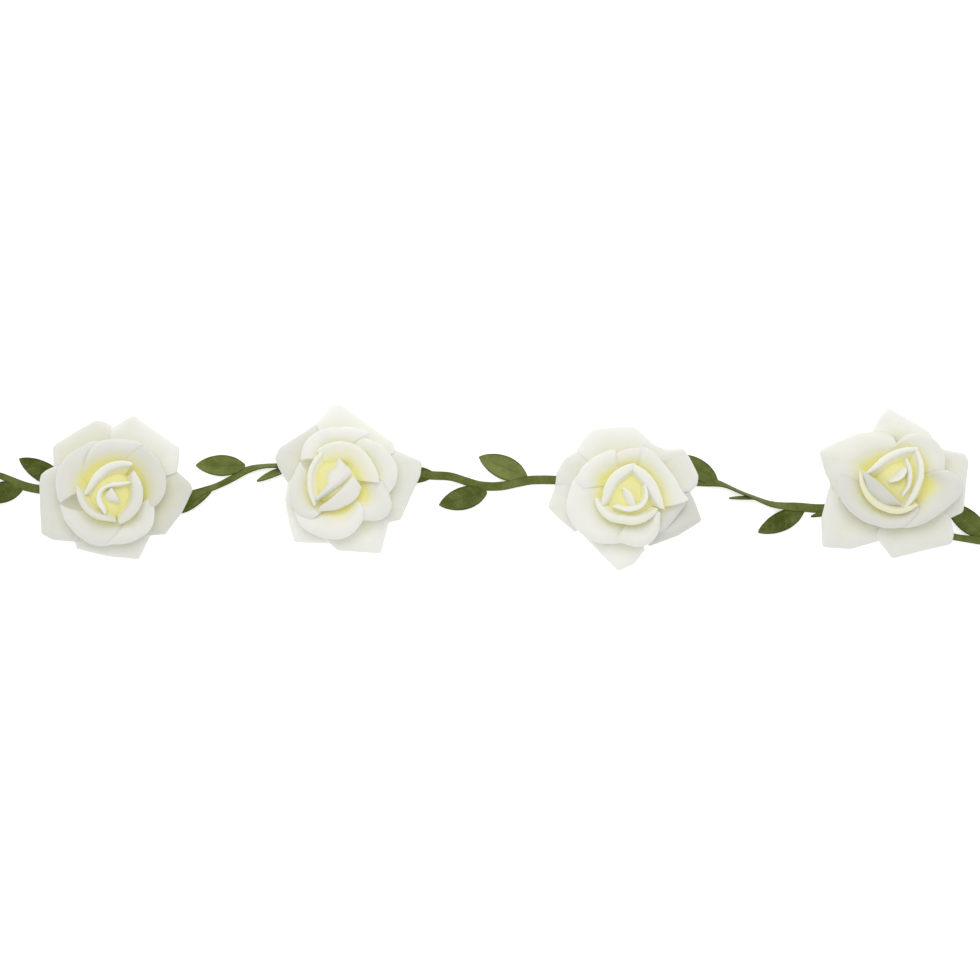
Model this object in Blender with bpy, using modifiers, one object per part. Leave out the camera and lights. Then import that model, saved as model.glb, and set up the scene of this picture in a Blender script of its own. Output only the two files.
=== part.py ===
# A stretch of rose garland, the trimming sold for crowns and hair bands.
# Four foam roses stand in a row on a ribbon of die-cut leaves, each held by a dab of glue.
# It lies on its back with the blooms up. X runs along the garland and Z is up, in metres.
# The origin is on the surface that it lies on, under the middle of the whole piece.

import math

import bmesh
import bpy
from mathutils import Matrix, Vector

MM = 0.001

# The foam sheet that the petals are cut from, and how far one end of a petal lies above the other
PETAL_SHEET = 1.0 * MM
PETAL_TILT = 0.9 * MM

# Outer petals fold down where they reach past this radius, by this much for each mm
FOLD_RADIUS = 32.0
FOLD_SHARE = 0.22

# The core of a bloom, turned: radius and height in mm, from the top down
CORE_PROFILE = [(0, 17), (6, 15), (9, 12), (10.5, 6), (9.5, 2.8), (0, 2.8)]
CORE_SIDES = 16

# Points of a fused mesh that lie closer than this become one
MERGE_DISTANCE = 0.000002

# Each kind of petal: the radius of its root, how far its two ends hang below its middle, the
# width of its rolled lip, and its side view in mm. The wall's points are a share of the way from
# root to lip and a height, and the lip's are a share of the lip's width and a height.
PETAL_FORMS = {
    "outer": (8.0, 1.4, 5.0, [(0, 5.0), (0.5, 8.3), (1, 12.0)], [(0.45, 12.1), (1, 10.2)]),
    "middle": (6.5, 3.0, 3.5, [(0, 9.0), (0.55, 12.8), (1, 21.3)], [(0.45, 22.6), (1, 21.8)]),
    "inner": (5.0, 3.6, 2.4, [(0, 11.0), (0.6, 15.0), (0.85, 22.5), (1, 27.8)],
              [(0.5, 29.2), (1, 28.2)]),
    "heart": (2.5, 2.4, 1.8, [(0, 13.0), (0.6, 19.5), (1, 29.3)], [(0.5, 30.8), (1, 30.2)]),
    "bud": (1.0, 0.0, 1.2, [(0, 14.0), (0.6, 20.0), (1, 27.4)], [(0.5, 28.6), (1, 28.2)]),
}
# A lip takes up no more than this share of its petal, and narrows to this share at its ends
LIP_SHARE_MOST = 0.5
LIP_END_SHARE = 0.35

# A closed petal leans inwards: its belly stands outside its rim
CLOSED_ROOT = 5.0
CLOSED_HEIGHTS = [10.5, 15.5, 22.0, 27.0, 30.5]
CLOSED_BELLY_ROW = 2
CLOSED_END_DROP = 2.0

# Each bloom: the place of its axis in mm, whether each petal's far end lies over (-1) or
# under (+1) the next petal, and its petals, anticlockwise from above. A petal is its kind and
# its rim, as degrees round the axis and reach in mm. After them an open one may have a lip of
# its own width, and a closed one has its belly line.
ROSES = {
    "rose_1": ((-185.2, -3.4), -1, [
        ("outer", [(-47, 27.5), (-37, 32.5), (-14, 34.5), (7, 39), (22, 32.5)]),
        ("outer", [(18, 33), (27, 36.5), (35, 40), (55, 37.5), (75, 40), (92, 32)]),
        ("outer", [(84, 31), (97, 36), (103, 37), (122, 35.5), (141, 37.5), (157, 31)]),
        ("outer", [(151, 30), (161, 35), (169, 36), (190, 36), (209, 40), (217, 37), (234, 29)]),
        ("outer", [(228, 28.5), (237, 32), (265, 30.5), (292, 34.5), (315, 27)]),
        ("middle", [(-20, 21), (-4, 26.5), (16, 28.5), (37, 29), (57, 27.5)]),
        ("middle", [(50, 29.5), (65, 28.5), (82, 27), (101, 26.5), (120, 25.5)]),
        ("middle", [(111, 27), (138, 27), (160, 28.5), (181, 26.5), (199, 23)]),
        ("middle", [(188, 25), (212, 25.5), (240, 26.5), (266, 27), (290, 17)]),
        ("middle", [(270, 27), (296, 27), (319, 27.5), (342, 22.5), (353, 19)]),
        ("inner", [(-61, 16), (-34, 16.5), (-10, 17), (17, 17), (44, 16.5)], 5.0),
        ("inner", [(42, 19.5), (63, 18.5), (88, 15.5), (121, 13), (182, 12.5)], 4.0),
        ("inner", [(166, 16.5), (189, 15.5), (213, 14.5), (241, 14), (291, 15)]),
        ("heart", [(28, 12.5), (71, 5.5), (167, 6.5), (222, 7), (261, 10.5)], 2.4),
        ("bud", [(-42, 6), (-10, 5.5), (47, 2.5), (215, 2.5)]),
    ]),
    "rose_2": ((-75.0, 2.9), -1, [
        ("outer", [(-42, 31), (-31, 36.5), (-11, 37), (13, 42.5), (31, 31)]),
        ("outer", [(26, 31.5), (34, 33.5), (64, 32), (88, 38), (93, 38), (110, 30)]),
        ("outer", [(103, 31), (129, 29), (150, 32.5), (159, 32.5), (186, 23)]),
        ("outer", [(178, 23.5), (200, 27), (222, 31.5), (235, 36.5), (260, 31)]),
        ("outer", [(256, 28.5), (271, 34), (288, 36.5), (301, 41.5), (323, 32)]),
        ("middle", [(-62, 24), (-48, 26), (-35, 32), (-22, 29), (6, 23.5)]),
        ("middle", [(-14, 26), (1, 30.5), (17, 30.5), (37, 28.5), (65, 24)]),
        ("middle", [(49, 29), (74, 27.5), (88, 26), (105, 26.5), (130, 25), (152, 19.5)]),
        ("middle", [(146, 19), (176, 21.5), (200, 25.5), (220, 24.5), (237, 22.5)]),
        ("middle", [(223, 26.5), (234, 28.5), (254, 28.5), (279, 31), (297, 25.5), (310, 22.5)]),
        ("inner", [(-26, 19.5), (9, 21.5), (44, 20.5), (70, 20.5), (113, 18)], 6.0),
        ("inner", [(111, 16), (139, 15.5), (170, 14), (202, 14.5), (230, 16)]),
        ("closed", [(-132, 16.5), (-119, 11.5), (-64, 5), (18, 11)],
         [(-125, 17), (-100, 15.5), (-55, 13), (-12, 13)]),
        ("heart", [(47, 11), (66, 11.5), (92, 11.5)]),
        ("heart", [(136, 8), (161, 4.5), (212, 9), (223, 11.5)]),
    ]),
    "rose_3": ((68.1, -4.9), 1, [
        ("outer", [(-68, 26), (-38, 30.5), (-18, 37.5), (-3, 32), (15, 28)]),
        ("outer", [(5, 29.5), (18, 35), (30, 35), (41, 36), (51, 29.5), (74, 28.5)]),
        ("outer", [(69, 29.5), (86, 35), (102, 35), (117, 37.5), (127, 36.5), (139, 34)]),
        ("outer", [(134, 32.5), (148, 36.5), (159, 36.5), (176, 35.5)]),
        ("outer", [(169, 36), (187, 40), (198, 35.5), (213, 31.5)]),
        ("outer", [(205, 30), (221, 29), (244, 31), (262, 36.5), (274, 33), (287, 27)]),
        ("middle", [(-48, 24), (-22, 25), (-2, 29.5), (13, 24)]),
        ("middle", [(4, 25), (23, 24), (51, 23.5), (70, 26), (87, 25)]),
        ("middle", [(70, 25.5), (90, 23.5), (113, 21.5)]),
        ("middle", [(104, 22.5), (111, 25), (132, 26), (152, 28), (172, 26)]),
        ("middle", [(166, 30), (190, 32), (209, 31), (234, 28), (261, 22)]),
        ("middle", [(250, 22), (273, 24), (290, 27), (310, 22), (334, 16.5)]),
        ("inner", [(-25, 18), (0, 15.5), (43, 14.5), (82, 17.5), (97, 17)], 5.0),
        ("inner", [(82, 18), (112, 17.5), (153, 14), (197, 14.5)], 6.0),
        ("inner", [(181, 17), (206, 18), (234, 15), (277, 14), (315, 15.5), (338, 15)], 3.0),
        ("heart", [(206, 10), (261, 7.5), (321, 8.5), (366, 9.5), (402, 9.5)]),
        ("bud", [(-63, 5), (35, 1.5), (116, 6), (179, 3)]),
    ]),
    "rose_4": ((199.4, 2.0), 1, [
        ("outer", [(-25, 34), (0, 34), (17, 37), (23, 36.5), (38, 27)]),
        ("outer", [(35, 26.5), (59, 30), (85, 33), (96, 37), (104, 33.5), (117, 27)]),
        ("outer", [(108, 26.5), (128, 31.5), (143, 35), (158, 41), (172, 37), (189, 31)]),
        ("outer", [(184, 33), (206, 41), (221, 48), (235, 39.5), (255, 29)]),
        ("outer", [(248, 28), (267, 37), (290, 35.5), (312, 40.5), (329, 31.5)]),
        ("middle", [(-83, 20.5), (-46, 24.5), (-19, 29), (-3, 31), (8, 27.5), (23, 20.5)]),
        ("middle", [(13, 22.5), (31, 26.5), (49, 28), (67, 26.5), (87, 22.5)]),
        ("middle", [(80, 22.5), (97, 23), (123, 28), (143, 30), (161, 29)]),
        ("middle", [(148, 29.5), (173, 30), (194, 30.5), (214, 27), (246, 22.5), (279, 22.5)]),
        ("inner", [(-81, 13.5), (-46, 10.5), (5, 11), (38, 15.5), (69, 19)]),
        ("inner", [(57, 19.5), (86, 17.5), (123, 15.5), (164, 17)], 3.5),
        ("inner", [(167, 19.5), (190, 19.5), (221, 17.5), (255, 15.5), (282, 15.5), (311, 14)]),
        ("closed", [(161, 20), (180, 10), (225, 7), (271, 10)],
         [(172, 17.5), (195, 16.5), (232, 13.5), (275, 11.5)]),
        ("heart", [(-87, 8), (-25, 4.5), (45, 7), (82, 10.5)]),
        ("heart", [(75, 8.5), (120, 5), (175, 6)]),
    ]),
}

# The dab of glue between ribbon and bloom: its radius, its two ends and where each one lies
GLUE_RADIUS = 5.0 * MM
GLUE_LOW = 1.2 * MM
GLUE_HIGH = 2.5 * MM
GLUE_PLACES = {
    "glue_dab_1": (-185.2, -3.4),
    "glue_dab_2": (-75.0, 5.0),
    "glue_dab_3": (68.1, -2.2),
    "glue_dab_4": (199.2, -2.6),
}

# The ribbon is woven satin, die-cut into a stem with leaves
STEM_WIDTH = 4.4
LEAF_SHEET = 0.8 * MM
STEM_STEPS = 60
# The stem's route: x and y, how high it is lifted, in mm, and how many degrees it is turned
# towards its edge
STEM_ROUTE = [
    (-253.0, 8.4, 0.6, 0), (-241.6, 5.4, 1.2, 0), (-229.2, 0.0, 0.8, 0), (-216.0, -2.2, 0.0, 0),
    (-198.0, -3.2, 0.0, 0), (-172.0, -3.6, 0.0, 0), (-152.0, -3.0, 0.0, 0),
    (-137.1, 0.0, 1.0, 0), (-127.2, 4.4, 1.2, 0), (-119.8, 8.4, 0.6, 30), (-112.4, 10.4, 0.0, 62),
    (-104.5, 10.8, 0.0, 62), (-95.0, 9.5, 0.0, 25), (-84.0, 7.2, 0.0, 0), (-66.0, 6.4, 0.0, 0),
    (-50.0, 6.6, 0.0, 0), (-35.5, 6.4, 0.4, 0), (-28.6, 6.4, 0.9, 0), (-19.7, 5.4, 1.2, 0),
    (-12.3, 2.5, 0.9, 0), (-4.9, 0.5, 0.5, 0), (4.9, 0.7, 1.0, 0), (14.8, 3.0, 1.3, 0),
    (22.2, 3.9, 0.9, 0), (36.0, 3.2, 0.0, 0), (56.0, 0.2, 0.0, 0), (78.0, 0.0, 0.0, 0),
    (94.0, 2.6, 0.0, 0), (103.5, 4.4, 0.3, 0), (111.9, 2.5, 0.6, 25), (116.8, 1.0, 0.3, 60),
    (123.3, -2.0, 0.0, 72), (130.6, -4.9, 0.0, 70), (138.0, -7.9, 0.2, 45),
    (145.4, -8.9, 0.8, 0), (152.8, -9.9, 0.8, 0), (164.2, -10.6, 0.2, 0), (180.0, -9.0, 0.0, 0),
    (193.0, -6.2, 0.0, 0), (206.0, -6.8, 0.0, 0), (217.0, -13.5, 0.0, 0),
    (228.3, -22.0, 0.6, 0), (241.6, -26.6, 1.2, 0), (253.0, -29.0, 0.6, 0),
]
# Leaves: base, tip, width across, degrees that they are folded along the rib and turned towards
# their edge, and lift of base and tip, in mm
LEAVES = [
    ((-229.0, -0.8), (-252.9, -3.9), 10.8, 8, 0, 0.6, 0.4),
    ((-209.5, 0.5), (-231.7, 14.3), 10.2, 12, 0, 0.3, 0.6),
    ((-193.5, -4.5), (-214.0, -15.0), 11.0, 3, 0, 0.1, 0.0),
    ((-167.0, -2.0), (-189.0, 9.8), 9.0, 3, 0, 0.1, 0.0),
    ((-136.0, 0.3), (-152.3, -12.8), 9.4, 12, 32, 0.6, 0.3),
    ((-118.5, 9.0), (-144.7, 10.6), 10.4, 8, 0, 0.9, 0.6),
    ((-98.5, 10.0), (-115.4, 3.0), 7.6, 6, 62, 0.2, 0.3),
    ((-80.0, 8.0), (-97.0, 17.5), 10.0, 3, 0, 0.1, 0.0),
    ((-55.0, 5.0), (-76.0, -6.0), 10.0, 3, 0, 0.1, 0.0),
    ((-26.5, 6.2), (-51.8, 9.4), 10.8, 8, 0, 0.6, 0.4),
    ((1.0, 0.2), (-25.1, -8.6), 12.0, 10, 0, 0.5, 0.3),
    ((20.5, 3.9), (-5.4, 14.8), 11.4, 8, 0, 0.6, 0.5),
    ((57.0, -1.0), (37.0, -11.0), 10.0, 3, 0, 0.1, 0.0),
    ((89.0, 2.2), (69.5, 14.0), 9.5, 3, 0, 0.1, 0.0),
    ((113.0, 1.6), (93.7, 17.3), 12.0, 10, 0, 0.3, 0.5),
    ((134.0, -5.6), (117.4, -5.6), 6.6, 4, 72, 0.3, 0.3),
    ((156.5, -10.6), (132.1, -22.5), 12.0, 10, 0, 0.5, 0.3),
    ((181.0, -9.4), (158.5, -15.0), 7.0, 4, 60, 0.1, 0.3),
    ((204.0, -5.6), (182.0, 6.5), 8.0, 2, 0, 0.1, 0.0),
    ((220.5, -16.5), (197.0, -26.0), 9.5, 3, 0, 0.1, 0.0),
    ((243.5, -26.2), (224.3, -8.9), 12.0, 12, 0, 0.6, 0.6),
]
LEAF_STEPS = 6
LEAF_FULLNESS = 0.9
LEAF_ROUNDNESS = 0.8
LEAF_TIP_SHARE = 0.09

# Points of the ribbon that are this close to the surface that it lies on are set on it
FLAT_WITHIN = 0.12 * MM


def clear_scene():
    for item in list(bpy.data.objects):
        bpy.data.objects.remove(item, do_unlink=True)


def new_collection(name):
    group = bpy.data.collections.new(name)
    bpy.context.scene.collection.children.link(group)
    return group


def new_material(name, colour, roughness):
    material = bpy.data.materials.new(name)
    material.use_nodes = True
    shader = material.node_tree.nodes["Principled BSDF"]
    shader.inputs["Base Color"].default_value = (*colour, 1.0)
    shader.inputs["Roughness"].default_value = roughness
    shader.inputs["Metallic"].default_value = 0.0
    return material


def add_object(name, mesh, group, material=None):
    made = bpy.data.objects.new(name, mesh)
    group.objects.link(made)
    if material:
        mesh.materials.clear()
        mesh.materials.append(material)
    return made


# The value at a share of the way along a list of points, straight from one to the next
def along(points, share):
    place = share * (len(points) - 1)
    index = min(int(place), len(points) - 2)
    part = place - index
    first, second = points[index], points[index + 1]
    return tuple(a + (b - a) * part for a, b in zip(first, second))


def polar(degrees, radius):
    angle = math.radians(degrees)
    return Vector((radius * math.cos(angle), radius * math.sin(angle)))


# How near a point along a petal's rim is to one of its two ends: 0 in the middle, 1 at an end
def end_share(side_share):
    return abs(2 * side_share - 1) ** 3


# The side view of an open petal of this reach: distance from its root and height, in mm
def side_view(kind, reach, lip, side_share):
    root_radius, _, own_lip, wall, rolled = PETAL_FORMS[kind]
    lip = min(lip or own_lip, LIP_SHARE_MOST * (reach - root_radius))
    lip *= 1 - (1 - LIP_END_SHARE) * end_share(side_share)
    length = reach - root_radius - lip
    return ([(share * length, height) for share, height in wall]
            + [(length + share * lip, height) for share, height in rolled])


# A point of an open petal, side_share along its rim and row_share from its root to its rim
def petal_point(kind, rim, lip, side_share, row_share):
    root_radius, end_drop = PETAL_FORMS[kind][:2]
    degrees, reach = along(rim, side_share)
    out, height = along(side_view(kind, reach, lip, side_share), row_share)
    share = out / (reach - root_radius)
    height -= end_drop * share * end_share(side_share)
    if kind == "outer":
        height -= FOLD_SHARE * max(0.0, reach - FOLD_RADIUS) * share
    return polar(degrees, root_radius + out), height


# A point of a closed petal, which goes from its root out to its belly and back to its rim
def closed_point(rim, belly, side_share, row_share):
    last = len(CLOSED_HEIGHTS) - 1
    row = row_share * last
    height = along([(h,) for h in CLOSED_HEIGHTS], row_share)[0]
    height -= CLOSED_END_DROP * row_share * end_share(side_share)
    belly_flat = polar(*along(belly, side_share))
    if row <= CLOSED_BELLY_ROW:
        root = polar(along(belly, side_share)[0], CLOSED_ROOT)
        return root.lerp(belly_flat, row / CLOSED_BELLY_ROW), height
    part = (row - CLOSED_BELLY_ROW) / (last - CLOSED_BELLY_ROW)
    return belly_flat.lerp(polar(*along(rim, side_share)), part ** 2), height


# A flat grid bent into shape by a function of its two shares, then given its thickness
def bent_sheet(name, columns, rows, thickness, place_point, group):
    shape = bmesh.new()
    bmesh.ops.create_grid(shape, x_segments=columns, y_segments=rows, size=0.5)
    for vert in shape.verts:
        vert.co = place_point(vert.co.x + 0.5, vert.co.y + 0.5)
    bmesh.ops.triangulate(shape, faces=shape.faces[:])
    bmesh.ops.recalc_face_normals(shape, faces=shape.faces[:])
    mesh = bpy.data.meshes.new(name)
    shape.to_mesh(mesh)
    shape.free()
    sheet = add_object(name, mesh, group)
    wall = sheet.modifiers.new("sheet thickness", "SOLIDIFY")
    wall.thickness = thickness
    wall.offset = 0.0
    wall.use_even_offset = False
    return sheet


def add_petal(name, centre, winding, petal, group):
    kind, rim = petal[:2]
    extra = petal[2] if len(petal) > 2 else None
    closed = kind == "closed"
    rows = len(CLOSED_HEIGHTS if closed else side_view(kind, rim[0][1], extra, 0)) - 1

    def place_point(side_share, row_share):
        if closed:
            flat, height = closed_point(rim, extra, side_share, row_share)
        else:
            flat, height = petal_point(kind, rim, extra, side_share, row_share)
        tilt = winding * PETAL_TILT * (1 - 2 * side_share)
        return Vector((centre[0] * MM + flat.x * MM, centre[1] * MM + flat.y * MM,
                       height * MM + tilt))

    return bent_sheet(name, len(rim) - 1, rows, PETAL_SHEET, place_point, group)


def add_core(name, centre, group):
    mesh = bpy.data.meshes.new(name)
    points = [(radius * MM, 0, height * MM) for radius, height in CORE_PROFILE]
    mesh.from_pydata(points, [(i, i + 1) for i in range(len(points) - 1)], [])
    core = add_object(name, mesh, group)
    core.location = (centre[0] * MM, centre[1] * MM, 0)
    turn = core.modifiers.new("turn", "SCREW")
    turn.steps = turn.render_steps = CORE_SIDES
    turn.use_merge_vertices = True
    turn.merge_threshold = 0.00001
    return core


# The faces of a mesh's separate bodies, the largest last
def separate_bodies(shape):
    left = set(shape.faces)
    bodies = []
    while left:
        body, front = [], [left.pop()]
        while front:
            face = front.pop()
            body.append(face)
            for edge in face.edges:
                if len(edge.link_faces) == 2:
                    for other in edge.link_faces:
                        if other in left:
                            left.remove(other)
                            front.append(other)
        bodies.append(body)
    return sorted(bodies, key=len)


# Keeps a mesh's largest body, so that sealed hollows are filled and loose scraps dropped, and
# says whether it is closed
def keep_main_body(mesh):
    shape = bmesh.new()
    shape.from_mesh(mesh)
    bmesh.ops.remove_doubles(shape, verts=shape.verts[:], dist=MERGE_DISTANCE)
    bmesh.ops.dissolve_degenerate(shape, edges=shape.edges[:], dist=MERGE_DISTANCE)
    bmesh.ops.triangulate(shape, faces=shape.faces[:])
    for body in separate_bodies(shape)[:-1]:
        bmesh.ops.delete(shape, geom=body, context="FACES")
    bare = [edge for edge in shape.edges if not edge.link_faces]
    bmesh.ops.delete(shape, geom=bare, context="EDGES")
    closed = all(len(edge.link_faces) == 2 for edge in shape.edges)
    shape.to_mesh(mesh)
    shape.free()
    return closed


# One Boolean union of a base and all the objects of a collection, applied
def fuse(name, base, pieces, group, material):
    union = base.modifiers.new("fuse", "BOOLEAN")
    union.operation = "UNION"
    union.operand_type = "COLLECTION"
    union.collection = pieces
    for solver in ("EXACT", "MANIFOLD"):
        union.solver = solver
        bpy.context.view_layer.update()
        seen = base.evaluated_get(bpy.context.evaluated_depsgraph_get())
        mesh = bpy.data.meshes.new_from_object(seen)
        if keep_main_body(mesh):
            break
    mesh.name = name
    mesh.transform(base.matrix_world)
    for item in list(pieces.objects):
        bpy.data.objects.remove(item, do_unlink=True)
    bpy.data.collections.remove(pieces)
    bpy.data.objects.remove(base, do_unlink=True)
    return add_object(name, mesh, group, material)


def add_rose(name, group, material):
    centre, winding, petals = ROSES[name]
    pieces = new_collection(name + " petals")
    for number, petal in enumerate(petals, 1):
        add_petal(f"{name}_petal_{number}", centre, winding, petal, pieces)
    core = add_core(name + "_core", centre, group)
    return fuse(name, core, pieces, group, material)


def add_glue(name, group, material):
    shape = bmesh.new()
    bmesh.ops.create_cone(shape, cap_ends=True, segments=16, radius1=GLUE_RADIUS,
                          radius2=GLUE_RADIUS, depth=GLUE_HIGH - GLUE_LOW)
    mesh = bpy.data.meshes.new(name)
    shape.to_mesh(mesh)
    shape.free()
    dab = add_object(name, mesh, group, material)
    x, y = GLUE_PLACES[name]
    dab.location = (x * MM, y * MM, (GLUE_HIGH + GLUE_LOW) / 2)


# A smooth curve through the points, which keeps to each of them
def smooth_point(points, share):
    place = share * (len(points) - 1)
    index = min(int(place), len(points) - 2)
    part = place - index
    before = points[max(index - 1, 0)]
    first, second = points[index], points[index + 1]
    after = points[min(index + 2, len(points) - 1)]
    values = []
    for a, b, c, d in zip(before, first, second, after):
        values.append(b + 0.5 * part * (c - a + part * (2 * a - 5 * b + 4 * c - d
                                                       + part * (3 * (b - c) + d - a))))
    return values


def stem_point(along_share, across_share):
    x, y, lift, turned = smooth_point(STEM_ROUTE, along_share)
    lift = max(lift, 0)
    ahead = smooth_point(STEM_ROUTE, min(along_share + 0.002, 1))
    behind = smooth_point(STEM_ROUTE, max(along_share - 0.002, 0))
    heading = Vector((ahead[0] - behind[0], ahead[1] - behind[1], 0)).normalized()
    across = Vector((-heading.y, heading.x, 0))
    turn = math.radians(turned)
    half = STEM_WIDTH / 2
    side = (across_share - 0.5) * 2 * half
    sheet = LEAF_SHEET / MM / 2
    middle = lift + half * abs(math.sin(turn)) + sheet * abs(math.cos(turn))
    flat = Vector((x, y, middle)) + across * side * math.cos(turn)
    flat.z += side * math.sin(turn)
    return flat * MM


# Half the width of a leaf at a share of its length, as a share of its half at the widest
def leaf_outline(share):
    swell = math.sin(math.pi * share ** LEAF_FULLNESS) ** LEAF_ROUNDNESS
    return LEAF_TIP_SHARE + (1 - LEAF_TIP_SHARE) * swell


def add_leaf(name, leaf, group):
    base, tip, width, fold, turned, base_lift, tip_lift = leaf
    base, tip = Vector(base), Vector(tip)
    across = Vector((base.y - tip.y, tip.x - base.x)).normalized()

    def place_point(along_share, across_share):
        outline = leaf_outline(along_share)
        spread = width / 2 * outline
        folded = math.radians(fold) * outline
        turn = math.radians(turned)
        side = (across_share - 0.5) * 2 * spread
        section = Vector((side * math.cos(folded), abs(side) * math.sin(folded)))
        section.rotate(Matrix.Rotation(turn, 2))
        spot = base.lerp(tip, along_share) + across * section.x
        height = base_lift + (tip_lift - base_lift) * along_share
        height += section.y + width / 2 * outline * math.sin(turn) + LEAF_SHEET / MM / 2
        return Vector((spot.x, spot.y, height)) * MM

    return bent_sheet(name, LEAF_STEPS, 2, LEAF_SHEET, place_point, group)


def add_leaf_ribbon(name, group, material):
    pieces = new_collection("leaves")
    for number, leaf in enumerate(LEAVES, 1):
        add_leaf(f"leaf_{number}", leaf, pieces)
    stem = bent_sheet("stem", STEM_STEPS, 1, LEAF_SHEET, stem_point, group)
    ribbon = fuse(name, stem, pieces, group, material)
    for vert in ribbon.data.vertices:
        if vert.co.z < FLAT_WITHIN:
            vert.co.z = 0.0
    return ribbon


def build():
    clear_scene()
    group = new_collection("rose_garland")
    foam = new_material("white foam", (0.93, 0.93, 0.88), 0.75)
    satin = new_material("green satin", (0.13, 0.20, 0.05), 0.6)
    glue = new_material("clear glue", (0.85, 0.83, 0.75), 0.35)
    for name in ROSES:
        add_rose(name, group, foam)
    for name in GLUE_PLACES:
        add_glue(name, group, glue)
    add_leaf_ribbon("leaf_ribbon", group, satin)


build()
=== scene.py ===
# Looks for a stretch of rose garland: four foam roses on a die-cut satin ribbon of leaves.
import math

import bmesh
import bpy
from mathutils import Matrix, Vector


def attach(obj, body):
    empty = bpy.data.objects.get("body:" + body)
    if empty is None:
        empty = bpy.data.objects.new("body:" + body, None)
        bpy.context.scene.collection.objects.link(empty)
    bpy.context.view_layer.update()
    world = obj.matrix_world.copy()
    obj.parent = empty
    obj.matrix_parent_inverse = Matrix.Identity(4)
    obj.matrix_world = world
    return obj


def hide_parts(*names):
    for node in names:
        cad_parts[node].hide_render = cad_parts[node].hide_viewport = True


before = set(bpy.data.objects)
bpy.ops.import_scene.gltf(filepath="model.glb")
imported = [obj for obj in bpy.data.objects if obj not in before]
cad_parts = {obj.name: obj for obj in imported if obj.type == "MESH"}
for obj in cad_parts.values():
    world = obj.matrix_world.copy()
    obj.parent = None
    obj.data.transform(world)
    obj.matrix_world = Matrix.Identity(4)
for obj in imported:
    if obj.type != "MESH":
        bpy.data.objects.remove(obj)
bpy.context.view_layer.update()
mm = 0.001
print("frame loaded,", len(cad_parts), "solids")


# Helpers for node trees: a socket is linked, a plain value is set
def feed(tree, term, socket):
    if isinstance(term, bpy.types.NodeSocket):
        tree.links.new(term, socket)
    else:
        socket.default_value = term


def addNode(tree, kind, inputs=None, **settings):
    node = tree.nodes.new(kind)
    for key, value in settings.items():
        setattr(node, key, value)
    for slot, term in (inputs or {}).items():
        feed(tree, term, node.inputs[slot])
    return node


def calc(tree, operation, *terms, clamp=False):
    node = addNode(tree, "ShaderNodeMath", dict(enumerate(terms)), operation=operation, use_clamp=clamp)
    return node.outputs[0]


def inTurn(operation):   # a function that takes any number of terms, one after the other
    def combine(tree, result, *terms):
        for term in terms:
            result = calc(tree, operation, result, term)
        return result
    return combine


plus, minus, times = inTurn("ADD"), inTurn("SUBTRACT"), inTurn("MULTIPLY")


def centred(tree, share):   # from 0..1 to -1..1
    return calc(tree, "MULTIPLY_ADD", share, 2.0, -1.0)


def calcVector(tree, operation, *terms):
    node = addNode(tree, "ShaderNodeVectorMath", dict(enumerate(terms)), operation=operation)
    return node.outputs["Value" if operation == "LENGTH" else "Vector"]


def scaled(tree, vector, share):
    return addNode(tree, "ShaderNodeVectorMath", {0: vector, "Scale": share}, operation="SCALE").outputs[0]


def joinXyz(tree, x, y, z):
    return addNode(tree, "ShaderNodeCombineXYZ", {0: x, 1: y, 2: z}).outputs[0]


def splitXyz(tree, vector):
    return addNode(tree, "ShaderNodeSeparateXYZ", {0: vector}).outputs


def noise(tree, place, scale, detail, roughness=0.5):
    return addNode(tree, "ShaderNodeTexNoise", {"Vector": place, "Scale": scale, "Detail": detail,
                                                "Roughness": roughness}).outputs[0]


def ramp(tree, factor, low, high, outLow=0.0, outHigh=1.0, kind="SMOOTHSTEP"):
    node = addNode(tree, "ShaderNodeMapRange", {0: factor, 1: low, 2: high, 3: outLow, 4: outHigh})
    node.interpolation_type = kind
    return node.outputs[0]


def curveValue(tree, factor, points):   # a curve through given points, from 0..1 to 0..1
    node = addNode(tree, "ShaderNodeFloatCurve", {"Value": factor})
    curve = node.mapping.curves[0]
    curve.points[0].location, curve.points[1].location = points[0], points[-1]
    for place in points[1:-1]:
        curve.points.new(*place)
    for point in curve.points:
        point.handle_type = "AUTO"
    node.mapping.update()
    return node.outputs[0]


def newTree(name, sizes, counts):   # a tree with geometry, a material and its sizes as named inputs
    tree = bpy.data.node_groups.new(name, "GeometryNodeTree")
    tree.is_modifier = True
    face = tree.interface
    for kind, labels in (("Geometry", ["Geometry"]), ("Float", sizes), ("Int", counts),
                         ("Material", ["Surface"])):
        for label in labels:
            face.new_socket(label, in_out="INPUT", socket_type="NodeSocket" + kind)
    face.new_socket("Geometry", in_out="OUTPUT", socket_type="NodeSocketGeometry")
    return tree, tree.nodes.new("NodeGroupInput").outputs


def closeTree(tree, start, geometry):   # every tree ends in real geometry with its material
    real = addNode(tree, "GeometryNodeRealizeInstances", {"Geometry": geometry})
    dressed = addNode(tree, "GeometryNodeSetMaterial",
                      {"Geometry": real.outputs[0], "Material": start["Surface"]})
    addNode(tree, "NodeGroupOutput", {0: dressed.outputs[0]})


def storeValue(tree, geometry, name, value, kind="FLOAT", domain="POINT"):
    node = addNode(tree, "GeometryNodeStoreNamedAttribute", data_type=kind, domain=domain)
    feed(tree, geometry, node.inputs["Geometry"])
    node.inputs["Name"].default_value = name
    feed(tree, value, node.inputs["Value"])
    return node.outputs[0]


def readValue(tree, name, kind="FLOAT"):
    return addNode(tree, "GeometryNodeInputNamedAttribute", {"Name": name}, data_type=kind).outputs[0]


def readPosition(tree):
    return addNode(tree, "GeometryNodeInputPosition").outputs[0]


def moveTo(tree, geometry, position):
    return addNode(tree, "GeometryNodeSetPosition", {"Geometry": geometry, "Position": position}).outputs[0]


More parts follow.
